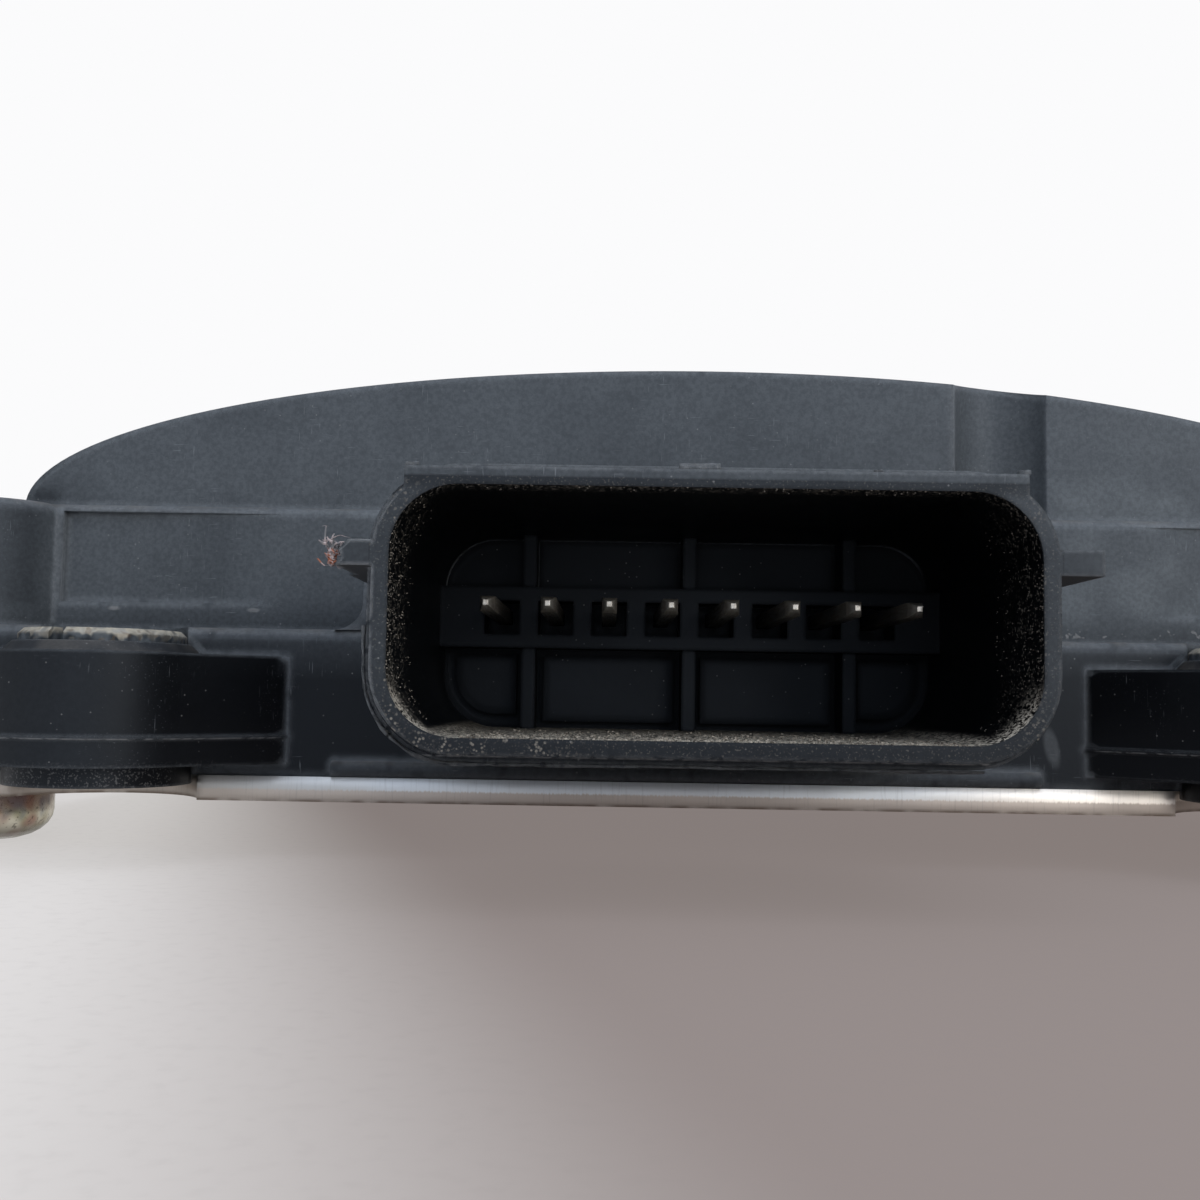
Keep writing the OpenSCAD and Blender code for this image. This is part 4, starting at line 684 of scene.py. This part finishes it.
bpy.ops.mesh.spin(steps=flashLook["steps"], angle=quarterTurn, center=(cornerX, flashLook["y"], cornerZ),
                  axis=(0, 1, 0))
run = (flashLook["end"] - cornerX) / flashLook["pieces"]
for index in range(flashLook["pieces"]):
    bpy.ops.mesh.extrude_region_move(TRANSFORM_OT_translate={"value": (run, 0, 0)})
bpy.ops.mesh.select_all(action="SELECT")
bpy.ops.transform.vertex_random(offset=flashLook["ragged"], seed=flashLook["seed"])
bpy.ops.object.mode_set(mode="OBJECT")
thick = flash.modifiers.new("thick", "SOLIDIFY")
thick.thickness, thick.offset = flashLook["deep"], 0
bpy.ops.object.modifier_apply(modifier="thick")
joined([flash], "shroud_flash", mouldedPbt)
print("shroud flash done")

# Matt white paper. The floor shows a soft warm-grey shade in front of the part, paler on the left.
floorLook = {"level": -2.7 * mm, "size": 4.0, "pale": "#e4e1df", "shade": "#988e8b", "far": "#fafafa",
             "edgeLeft": -30.0 * mm, "edgeSlant": 0.28, "edgeSoft": 16 * mm, "shown": 0.72, "fibre": 0.6 * mm,
             "fleck": "#8f8a88", "edgeY": -29 * mm, "frontEnd": (-0.13, -0.09), "backEnd": (0.06, 0.0),
             "rightEnd": (0.14, 0.05), "farFrom": 0.15, "farTo": 0.6}
bpy.ops.object.select_all(action="DESELECT")
bpy.ops.mesh.primitive_plane_add(size=floorLook["size"], location=(0, 0, floorLook["level"]))
floor = bpy.context.object
floor.name = "floor"
mattPaper, tree, place = newMaterial("matt paper")
x, y, z = addNode(tree, "SeparateXYZ", {0: place}).outputs
slanted = addNode(tree, "Math", {0: addNode(tree, "Math", {0: y, 1: -floorLook["edgeY"]}, operation="ADD"),
                                 1: floorLook["edgeSlant"], 2: x}, operation="MULTIPLY_ADD")
shadeSide = mask(tree, (slanted, floorLook["edgeLeft"] - 0.2 * floorLook["edgeSoft"],
                        floorLook["edgeLeft"] + floorLook["edgeSoft"]))
shadeDepth = mask(tree, (y, *floorLook["frontEnd"]), (y, *floorLook["backEnd"]), (x, *floorLook["rightEnd"]))
away = addNode(tree, "VectorMath", {0: place}, operation="LENGTH").outputs["Value"]
ground = layered(
    tree, floorLook["pale"],
    (floorLook["far"], mask(tree, (away, floorLook["farFrom"], floorLook["farTo"]))),
    (floorLook["shade"], mask(tree, shadeSide, shadeDepth)),
)
fibre = addNode(tree, "TexNoise", {"Vector": place, "Scale": 1 / floorLook["fibre"], "Detail": 4.0})
ground = layered(tree, ground, (floorLook["fleck"], mask(tree, (fibre, 0.45, 0.8, 0.0, 0.08))))
matt = addNode(tree, "BsdfDiffuse", {"Color": ground})
shown = addNode(tree, "Emission", {"Color": ground})
rays = addNode(tree, "LightPath")
direct = addNode(tree, "Math", {0: rays.outputs["Is Camera Ray"], 1: rays.outputs["Is Glossy Ray"]},
                 operation="MAXIMUM")
direct = addNode(tree, "Math", {0: direct, 1: rays.outputs["Is Transmission Ray"]}, operation="MAXIMUM")
finishMaterial(tree, addNode(tree, "MixShader", {0: mask(tree, direct, floorLook["shown"]), 1: matt, 2: shown}))
floor.data.materials.append(mattPaper)

# soft light from above and in front, dim at the horizon and at the sides, a little stronger from the right
skyLook = {"zenith": 1.6, "front": 1.38, "horizon": 0.25, "back": 0.9, "side": 0.4, "tint": "#eff4ff",
           "rightMore": 0.2, "seen": "#fbfbfc"}
world = bpy.data.worlds.new("studio")
bpy.context.scene.world = world
world.use_nodes = True
world.node_tree.nodes.clear()
tree = world.node_tree
way = addNode(tree, "SeparateXYZ", {0: addNode(tree, "TexCoord").outputs["Generated"]})
rise = mask(tree, (way.outputs["Z"], -0.02, 0.3, skyLook["horizon"], skyLook["front"]))
overhead = mask(tree, (way.outputs["Z"], 0.4, 1.0, 0.0, skyLook["zenith"] - skyLook["front"]))
rise = addNode(tree, "Math", {0: rise, 1: overhead}, operation="ADD")
level = addNode(tree, "Mix", {0: mask(tree, (way.outputs["Y"], -0.2, 0.5)), 2: rise, 3: skyLook["back"]},
                data_type="FLOAT").outputs[0]
aside = addNode(tree, "Math", {0: way.outputs["X"]}, operation="ABSOLUTE")
level = mask(tree, level, (way.outputs["X"], -0.7, 0.7, 1 - skyLook["rightMore"], 1 + skyLook["rightMore"]),
             (aside, 0.3, 0.95, 1.0, skyLook["side"]))
light = addNode(tree, "Background", {"Color": skyLook["tint"], "Strength": level})
seen = addNode(tree, "Background", {"Color": skyLook["seen"], "Strength": 1.0})
byCamera = addNode(tree, "LightPath").outputs["Is Camera Ray"]
addNode(tree, "OutputWorld", {"Surface": addNode(tree, "MixShader", {0: byCamera, 1: light, 2: seen})})

# one soft lamp at the front right, which the plate's edge and the notch's wall catch
lampLook = {"place": (0.3, -0.5, 0.11), "aim": (0.02, -0.03, 0.004), "size": 0.25, "watts": 0.74, "tint": "#fff6ea"}
lampData = bpy.data.lights.new("side lamp", "AREA")
lampData.shape = "DISK"
lampData.size = lampLook["size"]
lampData.energy = lampLook["watts"]
lampData.color = fromHex(lampLook["tint"])[:3]
lamp = bpy.data.objects.new("side lamp", lampData)
lamp.location = lampLook["place"]
lamp.rotation_euler = (Vector(lampLook["aim"]) - Vector(lampLook["place"])).to_track_quat("-Z", "Y").to_euler()
bpy.context.scene.collection.objects.link(lamp)
print("floor and light done")

# where the photograph was taken from: the eye's place in mm, the vanishing point and focal length in pixels
view = {"eye": (-5.35, -99.3, 5.3), "vanish": (607, 697), "focal": 1334, "slope": 0.0165, "frame": 1200, "film": 36}
aside, below = ((pixel - view["frame"] / 2) / view["focal"] for pixel in view["vanish"])
ahead = Vector((aside, -below, 1)).normalized()
across = Vector((1, -view["slope"], 0))
across = (across - ahead * across.dot(ahead)).normalized()
upward = ahead.cross(across)
camData = bpy.data.cameras.new("camera")
camData.sensor_width = view["film"]
camData.lens = view["focal"] / view["frame"] * view["film"]
camData.clip_start = 1 * mm
camera = bpy.data.objects.new("camera", camData)
bpy.context.scene.collection.objects.link(camera)
turn = Matrix(((across.x, across.y, -across.z), (ahead.x, ahead.y, -ahead.z), (upward.x, upward.y, -upward.z)))
camera.matrix_world = Matrix.Translation(Vector(view["eye"]) * mm) @ turn.to_4x4()
bpy.context.scene.camera = camera
bpy.context.scene.view_settings.view_transform = "Standard"
print("camera done")
